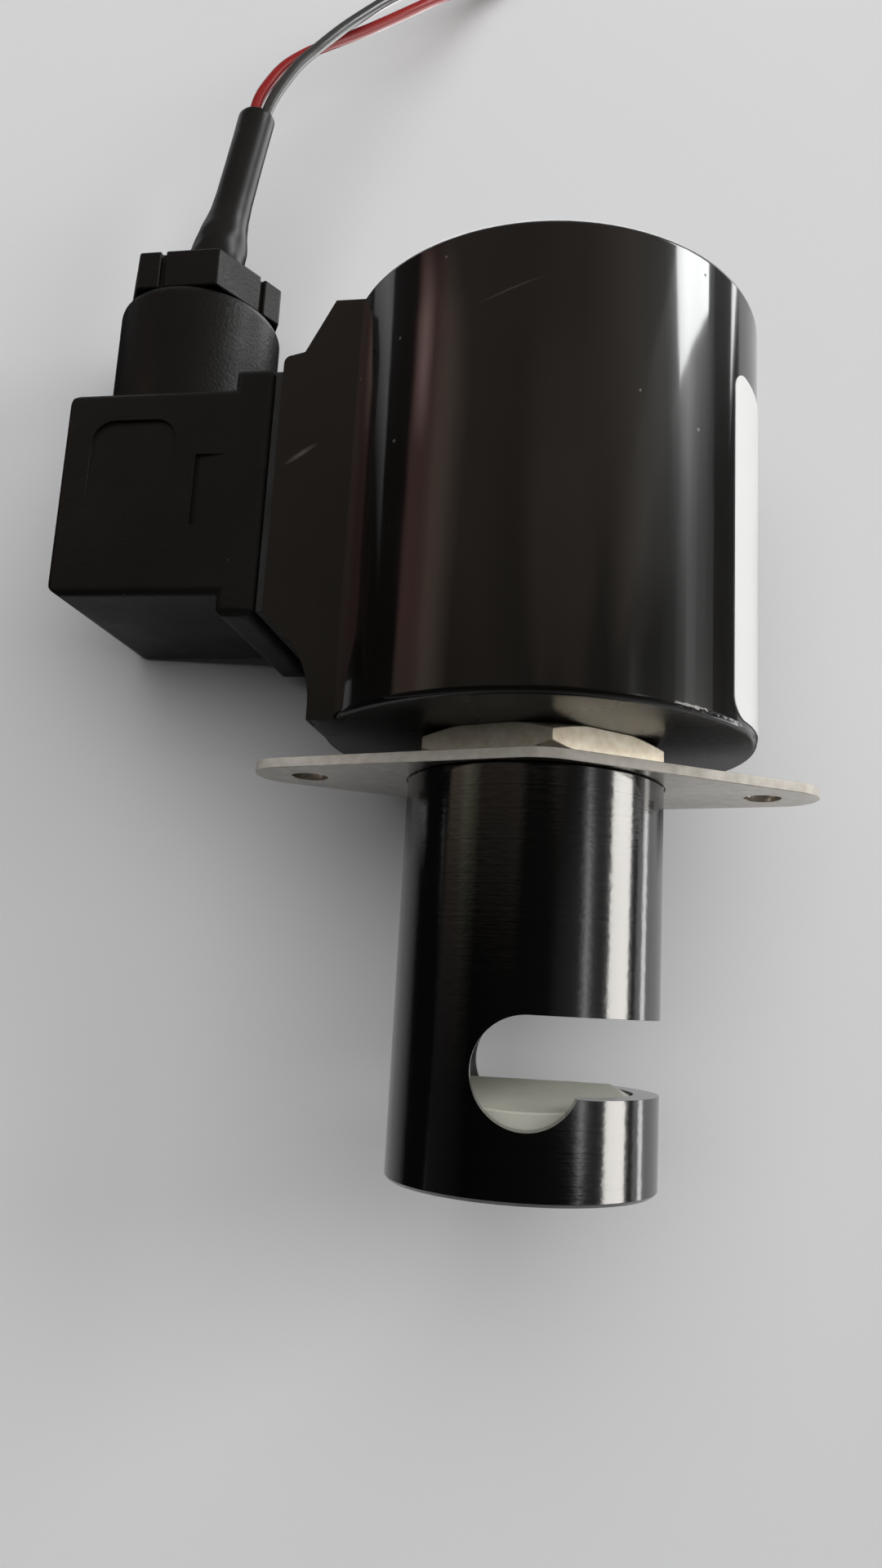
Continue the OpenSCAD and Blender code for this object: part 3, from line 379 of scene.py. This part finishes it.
NUT_FINISH = brushed_metal(
    "drawn_hexagon", (0.60, 0.50, 0.37), (0.94, 0.91, 0.79), (0.36, 0.46), (1, 0.08, 1), 2200, metallic=0.6)
SLOT_OF = {part["node"]: part["material_slot"] for part in frame["record"]["subparts"]}
for node_name, node_object in nodes.items():
    node_object.material_slots[0].material = FINISHES[SLOT_OF[node_name]]


# Making and joining pieces


def new_piece(name, mesh, slot, stands_for=()):
    """A finished mesh or curve as a piece of the valve, with its finish, standing for CAD nodes."""
    piece = new_object(name, mesh)
    mesh.materials.clear()
    mesh.materials.append(FINISHES[slot])
    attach(piece, BODY)
    if stands_for:
        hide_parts(*stands_for)
    return piece


def baked(holder, name):
    """The mesh of an object with its modifiers applied. The object itself is removed."""
    seen = holder.evaluated_get(bpy.context.evaluated_depsgraph_get())
    mesh = bpy.data.meshes.new_from_object(seen)
    mesh.name = name
    bpy.data.objects.remove(holder)
    return mesh


def soft_shading(mesh, angle):
    """Smooth shading, sharp where two faces meet at more than an angle in degrees."""
    mesh.shade_smooth()
    mesh.set_sharp_from_angle(angle=math.radians(angle))


def eased(node, name, edge, finish=None):
    """A copy of a CAD node whose sharp edges are rounded by millimetres, in place of the node."""
    flat_angle = math.radians(0.5)
    merge_gap = 0.000002
    sharp_angle = 40
    mesh = bpy.data.meshes.new(name)
    work = bmesh.new()
    work.from_mesh(nodes[node].data)
    bmesh.ops.remove_doubles(work, verts=work.verts, dist=merge_gap)
    bmesh.ops.dissolve_limit(work, angle_limit=flat_angle, verts=work.verts, edges=work.edges)
    work.to_mesh(mesh)
    work.free()
    if "custom_normal" in mesh.attributes:
        mesh.attributes.remove(mesh.attributes["custom_normal"])
    soft_shading(mesh, sharp_angle)
    holder = new_object(name + "_work", mesh)
    bevel = holder.modifiers.new("edge", "BEVEL")
    bevel.width = edge * MM
    bevel.segments = 2
    bevel.limit_method = "ANGLE"
    bevel.angle_limit = math.radians(sharp_angle)
    weighted = holder.modifiers.new("normals", "WEIGHTED_NORMAL")
    weighted.keep_sharp = True
    weighted.weight = 80
    piece = new_piece(name, baked(holder, name), SLOT_OF[node], (node,))
    if finish:
        piece.data.materials[0] = finish


# The pieces that get rounded edges, and by how much
eased("coil_housing", "coil_moulding", 0.35)
eased("plug_housing", "plug_shell", 0.3)
eased("nose_body", "turned_nose", 0.22)
eased("mounting_plate", "panel_plate", 0.15, finish=PLATE_FINISH)
eased("body_nut", "thin_nut", 0.12, finish=NUT_FINISH)
eased("anvil", "ridged_anvil", 0.2)
eased("gland_nut", "grip_nut", 0.25)
eased("connector_gasket", "plug_gasket", 0.15)
eased("coil_retaining_nut", "coil_nut", 0.2)
eased("coil_washer", "coil_disc", 0.15)
eased("lead_tie", "lead_band", 0.12)


# Leads


def smooth_line(points, steps):
    """A smooth line through points, with that many steps between two of them."""
    line = []
    last = len(points) - 1
    for i in range(last):
        p0, p1, p2, p3 = (Vector(points[min(max(k, 0), last)]) for k in (i - 1, i, i + 1, i + 2))
        for step in range(steps):
            t = step / steps
            line.append(0.5 * (2 * p1 + (p2 - p0) * t + (2 * p0 - 5 * p1 + 4 * p2 - p3) * t ** 2
                               + (3 * p1 - p0 - 3 * p2 + p3) * t ** 3))
    line.append(Vector(points[-1]))
    return line


LEAD_D = 1.6
LEAD_COIL_CENTRE = Vector((-3, 165, 0))
LEAD_COIL_R = 11.6
LEAD_PITCH = 1.65
LEAD_TURNS = 3
STEPS_PER_TURN = 48
TURN_START = math.radians(-40)
TIP_TURN = math.radians(10)
TIP_START = Vector((4.995, -1.5, 0))
RED_Z = -25.7
BLACK_Z = -24.1
# Places that the leads pass on the way to their coils
RED_ROUTE = [
    (-45.8, 99, -10.6), (-45.2, 102.7, -10.4), (-44.6, 105.3, -10.2), (-43.6, 107.8, -10.3),
    (-41.8, 111.6, -11), (-39.9, 114.5, -11.9), (-37.4, 117.6, -13.1), (-34, 120.8, -14.3),
    (-29.8, 124.6, -15.6), (-25.9, 128.5, -16.9), (-22, 132.7, -18.4), (-17.5, 138, -20.7),
    (-12.5, 142.8, -23.2), (-7, 147.5, -25.1), (-1, 152, -25.7),
]
BLACK_ROUTE = [
    (-44.1, 99, -10.6), (-43.4, 102.6, -10.3), (-42.4, 105.5, -10), (-41, 108.5, -10),
    (-39, 112.3, -10.3), (-36.4, 116.2, -11), (-33.4, 120.9, -12.2), (-30.3, 125.5, -13.7),
    (-26.8, 130.5, -15.5), (-22.5, 136, -17.8), (-17.5, 141.2, -20.3), (-12, 145.7, -22.5),
    (-6.5, 149.5, -23.5), (-1, 153, -23.9),
]


def lead_line(route, z):
    """The route of a lead, its flat coil and the short way in to its bare end."""
    route_steps = 6
    tip_steps = 4
    total = LEAD_TURNS * STEPS_PER_TURN
    turns = []
    for i in range(total + 1):
        angle = TURN_START + math.tau * i / STEPS_PER_TURN
        radius = LEAD_COIL_R - LEAD_PITCH * i / STEPS_PER_TURN
        turns.append(LEAD_COIL_CENTRE + Vector((radius * math.cos(angle), radius * math.sin(angle), z)))
    tip = LEAD_COIL_CENTRE + Matrix.Rotation(TIP_TURN, 3, "Z") @ TIP_START + Vector((0, 0, z))
    way_in = smooth_line(route + turns[:1], route_steps)[:-1]
    way_out = smooth_line([turns[-1], tip], tip_steps)[1:]
    return way_in + turns + way_out


def make_lead(name, route, z, slot, stands_for):
    """A round lead along its line."""
    line = lead_line(route, z)
    curve = bpy.data.curves.new(name, "CURVE")
    curve.dimensions = "3D"
    curve.bevel_depth = LEAD_D / 2 * MM
    curve.bevel_resolution = 5
    curve.use_fill_caps = True
    spline = curve.splines.new("POLY")
    spline.points.add(len(line) - 1)
    for point, place_mm in zip(spline.points, line):
        point.co = (*(place_mm * MM), 1)
    spline.use_smooth = True
    lead = new_piece(name, curve, slot, stands_for)


make_lead("red_lead", RED_ROUTE, RED_Z, "red_insulation", ("lead_red", "lead_red_coil"))
make_lead("black_lead", BLACK_ROUTE, BLACK_Z, "black_insulation", ("lead_black", "lead_black_coil"))


# Sleeve


SLEEVE_SIDES = 48
# Distance along the sleeve from its bend, and radius there
SLEEVE_PROFILE = [
    (-20.2, 3.5), (-0.8, 3.5), (0.3, 3.8), (2, 4.0), (4.5, 4.0), (6.5, 3.85), (8.5, 3.55), (10.2, 3.18),
    (12, 2.9), (15, 2.72), (20, 2.66), (26, 2.64), (28.6, 2.66), (29.1, 2.64), (29.28, 2.52),
    (29.28, 2.28), (29.0, 2.16), (26.0, 2.12),
]
# Creases round the sleeve: their height, how many there are, and how they turn along it
SLEEVE_WAVES = ((0.10, 3, 0.9), (0.06, 5, -1.7))


def sleeve_stations():
    """Distance and radius of each ring: close together outside, and as drawn at the lip and within it."""
    ring_step = 0.6
    lip_start = 28
    stations = [SLEEVE_PROFILE[0]]
    for (s0, r0), (s1, r1) in zip(SLEEVE_PROFILE, SLEEVE_PROFILE[1:]):
        as_drawn = s1 < s0 or s1 > lip_start
        steps = 1 if as_drawn else max(1, round((s1 - s0) / ring_step))
        for step in range(1, steps + 1):
            t = step / steps
            stations.append((s0 + (s1 - s0) * t, r0 + (r1 - r0) * t))
    return stations


def sleeve_ring(distance, radius):
    """The points of one ring, straight up before the bend and leaning after it, with a slanted end."""
    crease_middle = 6
    crease_reach = 5
    end_slant = 0.9
    slant_length = 4
    lean = 0 if distance < 0 else SLEEVE_LEAN
    start = Vector((-BARREL_X, 0, SLEEVE_BEND_Z))
    along = Vector((math.sin(lean), 0, math.cos(lean)))
    across = Vector((math.cos(lean), 0, -math.sin(lean)))
    crease = max(0.0, 1 - abs(distance - crease_middle) / crease_reach)
    slanted = end_slant if distance > SLEEVE_LEN - slant_length else 0
    ring = []
    for i in range(SLEEVE_SIDES):
        angle = math.tau * i / SLEEVE_SIDES
        wave = 0
        for height, count, twist in SLEEVE_WAVES:
            wave += height * math.sin(count * angle + distance * twist)
        reach = radius + crease * wave
        slant = slanted * (1 - math.cos(angle)) / 2
        sideways = across * (reach * math.cos(angle)) + Vector((0, reach * math.sin(angle), 0))
        ring.append(start + along * (distance - slant) + sideways)
    return ring


def shrunk_sleeve():
    """A sleeve shrunk over the leads, swollen and creased where it leaves the gland, open at its end."""
    mesh = bpy.data.meshes.new("creased_sleeve")
    work = bmesh.new()
    loops = [[work.verts.new(p * MM) for p in sleeve_ring(*station)] for station in sleeve_stations()]
    for low, high in zip(loops, loops[1:]):
        for i in range(SLEEVE_SIDES):
            j = (i + 1) % SLEEVE_SIDES
            work.faces.new((low[i], low[j], high[j], high[i]))
    work.faces.new(list(reversed(loops[0])))
    work.faces.new(loops[-1])
    bmesh.ops.recalc_face_normals(work, faces=work.faces)
    work.to_mesh(mesh)
    work.free()
    mesh.transform(laid(COIL_ROLL))
    soft_shading(mesh, angle=50)
    new_piece("creased_sleeve", mesh, "sleeve", ("shrink_sleeve",))


shrunk_sleeve()


# Wound pieces


def wound_wire_tree():
    """A wire wound in a helix about Z. Its sizes are the tree's inputs."""
    tree = bpy.data.node_groups.new("wound_wire", "GeometryNodeTree")
    face = tree.interface
    face.new_socket("Geometry", in_out="OUTPUT", socket_type="NodeSocketGeometry")
    inputs = (
        ("Turns", "Float"), ("Radius", "Float"), ("Height", "Float"), ("Wire Radius", "Float"),
        ("Steps", "Int"), ("Sides", "Int"), ("Finish", "Material"),
    )
    for label, kind in inputs:
        face.new_socket(label, in_out="INPUT", socket_type="NodeSocket" + kind)
    sizes = tree.nodes.new("NodeGroupInput").outputs
    spiral = tree.nodes.new("GeometryNodeCurveSpiral")
    profile = tree.nodes.new("GeometryNodeCurvePrimitiveCircle")
    sweep = tree.nodes.new("GeometryNodeCurveToMesh")
    smooth = tree.nodes.new("GeometryNodeSetShadeSmooth")
    real = tree.nodes.new("GeometryNodeRealizeInstances")
    paint = tree.nodes.new("GeometryNodeSetMaterial")
    out = tree.nodes.new("NodeGroupOutput")
    sweep.inputs["Fill Caps"].default_value = True
    links = tree.links
    links.new(sizes["Steps"], spiral.inputs["Resolution"])
    links.new(sizes["Turns"], spiral.inputs["Rotations"])
    links.new(sizes["Radius"], spiral.inputs["Start Radius"])
    links.new(sizes["Radius"], spiral.inputs["End Radius"])
    links.new(sizes["Height"], spiral.inputs["Height"])
    links.new(sizes["Sides"], profile.inputs["Resolution"])
    links.new(sizes["Wire Radius"], profile.inputs["Radius"])
    links.new(spiral.outputs["Curve"], sweep.inputs["Curve"])
    links.new(profile.outputs["Curve"], sweep.inputs["Profile Curve"])
    links.new(sweep.outputs["Mesh"], smooth.inputs["Geometry"])
    links.new(smooth.outputs["Geometry"], real.inputs["Geometry"])
    links.new(real.outputs["Geometry"], paint.inputs["Geometry"])
    links.new(sizes["Finish"], paint.inputs["Material"])
    links.new(paint.outputs["Geometry"], out.inputs["Geometry"])
    return tree


def grown(tree, name, values):
    """The plain mesh that a tree makes from its named inputs."""
    holder = new_object(name + "_work", bpy.data.meshes.new(name + "_work"))
    modifier = holder.modifiers.new("make", "NODES")
    modifier.node_group = tree
    for item in tree.interface.items_tree:
        if item.in_out == "INPUT":
            modifier[item.identifier] = values[item.name]
    return baked(holder, name)


def wound_piece(tree, name, z, slot, stands_for, sizes):
    """A wound wire that starts at a height of the upright drawing, in millimetres."""
    mesh = grown(tree, name, {"Finish": FINISHES[slot], **sizes})
    mesh.transform(laid(PLATE_ROLL) @ Matrix.Translation((0, 0, z * MM)))
    return new_piece(name, mesh, slot, stands_for)


wound_wire = wound_wire_tree()
spring_gap = 0.1
spring_room = SPRING_TOP_Z - SPRING_Z
spring_foot = SPRING_Z + spring_gap + SPRING_WIRE_D / 2
spring = wound_piece(wound_wire, "wound_spring", spring_foot, "stainless", ("return_spring",), {
    "Turns": float(SPRING_TURNS),
    "Radius": (SPRING_D - SPRING_WIRE_D) / 2 * MM,
    "Height": (spring_room - SPRING_WIRE_D - 2 * spring_gap) * MM,
    "Wire Radius": SPRING_WIRE_D / 2 * MM,
    "Steps": 40,
    "Sides": 12,
})
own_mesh(spring)
thread_wire = 0.3
thread_pitch = 0.9
thread_sink = 0.1
thread_height = STUD_TOP_Z - thread_wire - TOP_NUT_Z
wound_piece(wound_wire, "stud_thread", TOP_NUT_Z, "soft_iron", (), {
    "Turns": thread_height / thread_pitch,
    "Radius": (STUD_D / 2 - thread_sink) * MM,
    "Height": thread_height * MM,
    "Wire Radius": thread_wire * MM,
    "Steps": 64,
    "Sides": 6,
})


# Table, light and camera


def table_finish():
    """A pale dull table with faint clouds."""
    finish, tree, shader = new_finish("pale_table", (0.73, 0.73, 0.735), roughness=0.5, specular=0.0)
    here = place(tree)
    clouds = spread(tree, cloudy(tree, here, scale=5), 0, 1)
    tone = between(tree, clouds, (0.71, 0.71, 0.715), (0.75, 0.75, 0.755))
    tree.links.new(tone, shader.inputs["Base Color"])
    tree.links.new(spread(tree, cloudy(tree, here, scale=30), 0.45, 0.55), shader.inputs["Roughness"])
    return finish


def make_table():
    """A flat table under the valve, out to a few metres."""
    reach = 4.0
    z = TABLE_Z * MM
    mesh = bpy.data.meshes.new("table")
    corners = [(-reach, -reach, z), (reach, -reach, z), (reach, reach, z), (-reach, reach, z)]
    mesh.from_pydata(corners, [], [(0, 1, 2, 3)])
    mesh.materials.append(table_finish())
    new_object("table", mesh)


# Glowing cards lie behind the windows
WINDOW_DISTANCE = 1.3
CARD_DISTANCE = 1.36


def toward(azimuth, elevation, distance):
    """A place seen from the valve in that direction."""
    a, e = math.radians(azimuth), math.radians(elevation)
    return distance * Vector((math.cos(a) * math.cos(e), math.sin(a) * math.cos(e), math.sin(e)))


def make_lamp(name, spot, back, size, radiance, in_gloss=True, in_diffuse=True, colour=(1, 1, 1)):
    """A soft rectangular lamp with its back to a direction. Radiance is its brightness in a mirror."""
    light = bpy.data.lights.new(name, "AREA")
    light.shape = "RECTANGLE"
    light.size, light.size_y = size
    light.energy = radiance * math.pi * size[0] * size[1]
    light.color = colour
    lamp = new_object(name, light)
    lamp.location = spot
    lamp.rotation_euler = back.to_track_quat("Z", "Y").to_euler()
    lamp.visible_camera = False
    lamp.visible_glossy = in_gloss
    lamp.visible_diffuse = in_diffuse


def make_window(name, azimuth, elevation, size, radiance, colour):
    """A window that shows in the gloss only, so that it doesn't whiten the table near it."""
    spot = toward(azimuth, elevation, WINDOW_DISTANCE)
    make_lamp(name, spot, spot, size, radiance, in_diffuse=False, colour=colour)


def grey(value):
    return (value, value, value)


def ramp(tree, value, stops):
    """A colour that changes with a value. Stops are pairs of a place and a grey level or a colour."""
    node = tree.nodes.new("ShaderNodeValToRGB")
    elements = node.color_ramp.elements
    while len(elements) < len(stops):
        elements.new(0.5)
    for element, (position, tint) in zip(elements, stops):
        colour = tint if isinstance(tint, tuple) else grey(tint)
        element.position = position
        element.color = (*colour, 1)
    tree.links.new(value, node.inputs["Fac"])
    return node.outputs["Color"]


def product(tree, first, second):
    """One colour multiplied by another."""
    mix = tree.nodes.new("ShaderNodeMix")
    mix.data_type = "RGBA"
    mix.blend_type = "MULTIPLY"
    mix.inputs["Factor"].default_value = 1.0
    tree.links.new(first, mix.inputs["A"])
    tree.links.new(second, mix.inputs["B"])
    return mix.outputs["Result"]


def add_shares(mesh, shares):
    """A map of how far across and up each corner of a card is."""
    layer = mesh.uv_layers.new(name="shares")
    for loop in mesh.loops:
        layer.data[loop.index].uv = shares[loop.vertex_index]


def shares_of(tree):
    """How far across and up its card a spot is."""
    where = tree.nodes.new("ShaderNodeTexCoord")
    split = tree.nodes.new("ShaderNodeSeparateXYZ")
    tree.links.new(where.outputs["UV"], split.inputs["Vector"])
    return split.outputs["X"], split.outputs["Y"]


def make_card(name, mesh, finish):
    """A card out of view that only the glossy pieces mirror."""
    mesh.materials.append(finish)
    card = new_object(name, mesh)
    card.visible_camera = False
    card.visible_diffuse = False
    card.visible_shadow = False


def soft_edges(share):
    """Stops that rise from nothing at both ends over this share of the length."""
    return (0.0, 0.0), (share, 1.0), (1 - share, 1.0), (1.0, 0.0)


def make_dark_card(name, corners, tone, soft):
    """A dark card that fades out at its edges. Its corners and the fading are in millimetres."""
    unevenness = 0.15
    width = (Vector(corners[1]) - Vector(corners[0])).length
    height = (Vector(corners[3]) - Vector(corners[0])).length
    finish, tree, shader = new_finish(name, grey(tone), roughness=0.9, specular=0.0)
    clouds = spread(tree, cloudy(tree, place(tree), scale=40), 0, 1)
    shade = between(tree, clouds, grey(tone * (1 - unevenness)), grey(tone * (1 + unevenness)))
    tree.links.new(shade, shader.inputs["Base Color"])
    sides = soft_edges(soft / width)
    ends = soft_edges(soft / height)
    across, upward = shares_of(tree)
    mix = tree.nodes.new("ShaderNodeMixShader")
    clear = tree.nodes.new("ShaderNodeBsdfTransparent")
    tree.links.new(product(tree, ramp(tree, across, sides), ramp(tree, upward, ends)), mix.inputs[0])
    tree.links.new(clear.outputs["BSDF"], mix.inputs[1])
    tree.links.new(shader.outputs["BSDF"], mix.inputs[2])
    tree.links.new(mix.outputs["Shader"], tree.nodes["Material Output"].inputs["Surface"])
    mesh = bpy.data.meshes.new(name)
    mesh.from_pydata([[c * MM for c in corner] for corner in corners], [], [(0, 1, 2, 3)])
    add_shares(mesh, [(0, 0), (1, 0), (1, 1), (0, 1)])
    make_card(name, mesh, finish)


def standing_card(name, first, last, top):
    """A dark card that stands on the table from one place to another, up to a height."""
    tone = 0.012
    soft = 1
    corners = [(*first, TABLE_Z), (*last, TABLE_Z), (*last, top), (*first, top)]
    make_dark_card(name, corners, tone, soft)


def flat_card(name, low, high, lift, tone, soft):
    """A dark card that lies over the table and darkens it where the gloss mirrors it. Each has its own
    lift, so that no two lie in one plane.
    """
    z = TABLE_Z + lift
    corners = [(low[0], low[1], z), (high[0], low[1], z), (high[0], high[1], z), (low[0], high[1], z)]
    make_dark_card(name, corners, tone, soft)


def make_glow(name, azimuths, elevations, radiance, along, upward):
    """A soft glowing card on a ball round the valve. Stops give its light along the horizon and upward."""
    finish = bpy.data.materials.new(name)
    finish.use_nodes = True
    tree = finish.node_tree
    tree.nodes.clear()
    across, height = shares_of(tree)
    light = product(tree, ramp(tree, across, along), ramp(tree, height, upward))
    shine = tree.nodes.new("ShaderNodeEmission")
    shine.inputs["Strength"].default_value = radiance
    tree.links.new(light, shine.inputs["Color"])
    clear = tree.nodes.new("ShaderNodeBsdfTransparent")
    both = tree.nodes.new("ShaderNodeAddShader")
    tree.links.new(shine.outputs["Emission"], both.inputs[0])
    tree.links.new(clear.outputs["BSDF"], both.inputs[1])
    out = tree.nodes.new("ShaderNodeOutputMaterial")
    tree.links.new(both.outputs["Shader"], out.inputs["Surface"])
    steps = 10
    shares = [(i / steps, j / steps) for j in range(steps + 1) for i in range(steps + 1)]
    spots = []
    for u, v in shares:
        azimuth = azimuths[0] + (azimuths[1] - azimuths[0]) * u
        elevation = elevations[0] + (elevations[1] - elevations[0]) * v
        spots.append(toward(azimuth, elevation, CARD_DISTANCE))
    row = steps + 1
    faces = []
    for j in range(steps):
        for i in range(steps):
            k = j * row + i
            faces.append((k, k + 1, k + 1 + row, k + row))
    mesh = bpy.data.meshes.new(name)
    mesh.from_pydata(spots, [], faces)
    add_shares(mesh, shares)
    make_card(name, mesh, finish)


def make_world():
    """A dim room: lightest near the horizon, darkest overhead and on the plug's side."""
    world = bpy.data.worlds.new("room")
    world.use_nodes = True
    bpy.context.scene.world = world
    tree = world.node_tree
    where = tree.nodes.new("ShaderNodeTexCoord")
    split = tree.nodes.new("ShaderNodeSeparateXYZ")
    tree.links.new(where.outputs["Generated"], split.inputs["Vector"])
    levels = ((0.0, 0.26), (0.12, 0.22), (0.40, 0.14), (0.56, 0.03), (1.0, 0.015))
    height = ramp(tree, split.outputs["Z"], levels)
    sideways = spread(tree, split.outputs["X"], 0, 1, start=-0.8, end=0.2)
    side = between(tree, sideways, grey(0.15), grey(1.0))
    tree.links.new(product(tree, height, side), tree.nodes["Background"].inputs["Color"])


def make_camera():
    """A camera at the photograph's place, fitted to the edges that the photograph shows."""
    data = bpy.data.cameras.new("camera")
    data.sensor_width = 36
    data.lens = 25.32
    data.clip_start = 0.01
    camera = new_object("camera", data)
    ahead = Vector((0.0489, 0.1902, -0.9805)).normalized()
    right = Vector((0.996, 0.054, 0.060))
    right = (right - ahead * right.dot(ahead)).normalized()
    up = right.cross(ahead)
    spot = Vector((-18.6, -26.63, 135.83)) * MM
    camera.matrix_world = Matrix((
        (right.x, up.x, -ahead.x, spot.x), (right.y, up.y, -ahead.y, spot.y),
        (right.z, up.z, -ahead.z, spot.z), (0, 0, 0, 1),
    ))
    bpy.context.scene.camera = camera


make_table()
make_world()

# Dark cards that only the gloss mirrors: standing ones for dark surroundings, and flat ones that darken the
# table
standing_card("side_card", (252, 45), (160, 205), top=24)
standing_card("plug_card", (-225, 30), (-140, 190), top=26)
standing_card("right_card", (420, -220), (420, 60), top=18)
# Painted shadow of the valve on the table beside the nose, fading into a dark table far off to the left
flat_card("left_shade", (-3900, -250), (-28, 130), lift=0.3, tone=0.012, soft=46)
flat_card("right_shade", (115, 25), (250, 140), lift=0.4, tone=0.012, soft=8)
# Painted shadow of the valve on the table under the coil and the plate
flat_card("coil_shade", (-42, -6), (60, 60), lift=0.5, tone=0.07, soft=12)
# Painted shade on the table under and beside the plug
flat_card("plug_shade", (-90, -4), (-30, 60), lift=0.6, tone=0.55, soft=12)
flat_card("back_shade", (-60, 58), (25, 340), lift=0.7, tone=0.02, soft=6)

# Windows and lit walls that the gloss mirrors
make_window("far_window", azimuth=43, elevation=14, size=(0.34, 0.41), radiance=11.2,
            colour=(0.97, 1.0, 0.99))
make_window("near_window", azimuth=-0.2, elevation=15.8, size=(0.66, 0.51), radiance=6.2,
            colour=(1.0, 0.97, 0.92))
make_glow("faint_strip", azimuths=(-20, 30), elevations=(30, 80), radiance=1.7,
          along=((0.0, 0.0), (0.15, 1.0), (0.6, 1.0), (1.0, 0.0)),
          upward=((0.0, 0.03), (0.12, 0.05), (0.24, 0.12), (0.32, 0.45), (0.37, 1.0), (0.42, 0.4),
                  (0.5, 0.07), (0.62, 0.05), (0.86, 0.03), (1.0, 0.0)))
make_glow("dim_curtain", azimuths=(8, 42), elevations=(2, 50), radiance=4.5,
          along=((0.0, 0.14), (0.5, 0.24), (0.7, 0.5), (1.0, 1.0)),
          upward=((0.0, 0.0), (0.21, 0.4), (0.33, 1.0), (0.44, 0.33), (0.54, 0.1), (0.75, 0.03),
                  (1.0, 0.0)))
make_glow("brown_ceiling", azimuths=(25, 130), elevations=(12, 78), radiance=0.68,
          along=((0.0, 0.0), (0.12, 0.14), (0.2, 0.2), (0.3, 0.42), (0.45, 0.5), (0.83, 0.48),
                 (1.0, 0.0)),
          upward=((0.0, 0.0), (0.09, (0.4, 0.33, 0.27)), (0.35, (0.6, 0.49, 0.41)),
                  (0.576, (0.65, 0.53, 0.44)), (0.758, (1.0, 0.82, 0.68)), (0.848, (0.85, 0.7, 0.57)),
                  (0.909, (0.7, 0.57, 0.47)), (0.939, (0.4, 0.33, 0.27)), (0.97, 0.05), (1.0, 0.0)))
make_glow("bright_corner", azimuths=(24, 80), elevations=(28, 60), radiance=0.55,
          along=((0.0, 0.0), (0.18, 1.0), (0.46, 0.6), (1.0, 0.0)),
          upward=((0.0, 0.0), (0.15, (0.6, 0.54, 0.48)), (0.4, (1.0, 0.9, 0.8)),
                  (0.7, (0.7, 0.6, 0.52)), (1.0, 0.0)))
make_glow("left_ceiling", azimuths=(112, 178), elevations=(12, 74), radiance=0.36,
          along=((0.0, 0.0), (0.27, 1.0), (0.576, 1.0), (0.7, 0.65), (0.8, 0.45), (0.88, 0.25),
                 (1.0, 0.0)),
          upward=((0.0, 0.0), (0.1, (0.5, 0.41, 0.34)), (0.37, (0.65, 0.53, 0.44)),
                  (0.53, (0.6, 0.49, 0.41)), (0.69, (0.44, 0.36, 0.3)), (0.9, (0.34, 0.28, 0.23)),
                  (0.96, (0.1, 0.08, 0.07)), (1.0, 0.0)))
make_glow("warm_wall", azimuths=(138, 186), elevations=(2, 34), radiance=0.72,
          along=((0.0, 0.0), (0.1, 0.8), (0.46, 1.0), (0.583, (0.68, 1.0, 0.9)),
                 (0.667, (0.44, 0.66, 0.52)), (0.77, (0.138, 0.2, 0.17)), (0.854, (0.08, 0.1, 0.1)),
                 (1.0, 0.0)),
          upward=((0.0, 0.0), (0.1, (0.66, 0.34, 0.31)), (0.42, (0.66, 0.34, 0.31)),
                  (0.58, (0.85, 0.56, 0.45)), (0.69, (0.7, 0.5, 0.4)), (1.0, 0.0)))
make_glow("warm_edge", azimuths=(141, 151), elevations=(4, 14), radiance=1.2,
          along=((0.0, 0.0), (0.4, 1.0), (0.6, 1.0), (1.0, 0.0)),
          upward=((0.0, 0.0), (0.4, (1.0, 0.7, 0.64)), (0.6, (1.0, 0.7, 0.64)), (1.0, 0.0)))

# Bright patches of the table that the gloss mirrors
patch_lift = 0.001
patch_z = TABLE_Z * MM + patch_lift
DOWN = Vector((0, 0, -1))
UP = Vector((0, 0, 1))
glints = (
    ("near_glint", 0.136, -0.028, (0.05, 0.105), 3.1),
    ("far_glint", 0.162, 0.167, (0.055, 0.044), 4.5),
    ("back_glint", 0.0, 0.112, (0.058, 0.055), 4.0),
)
for glint, x, y, size, radiance in glints:
    make_lamp(glint, Vector((x, y, patch_z)), DOWN, size, radiance, in_diffuse=False)

# Soft light on the valve and the table
side_spot = toward(azimuth=22, elevation=26, distance=2.6)
box_spot = Vector((0.0, 0.70, 1.0))
make_lamp("side_fill", side_spot, side_spot, size=(1.2, 1.0), radiance=8.0, in_gloss=False)
make_lamp("soft_box", box_spot, UP, size=(1.8, 1.6), radiance=1.8, in_gloss=False)

make_camera()
bpy.context.scene.view_settings.view_transform = "Standard"
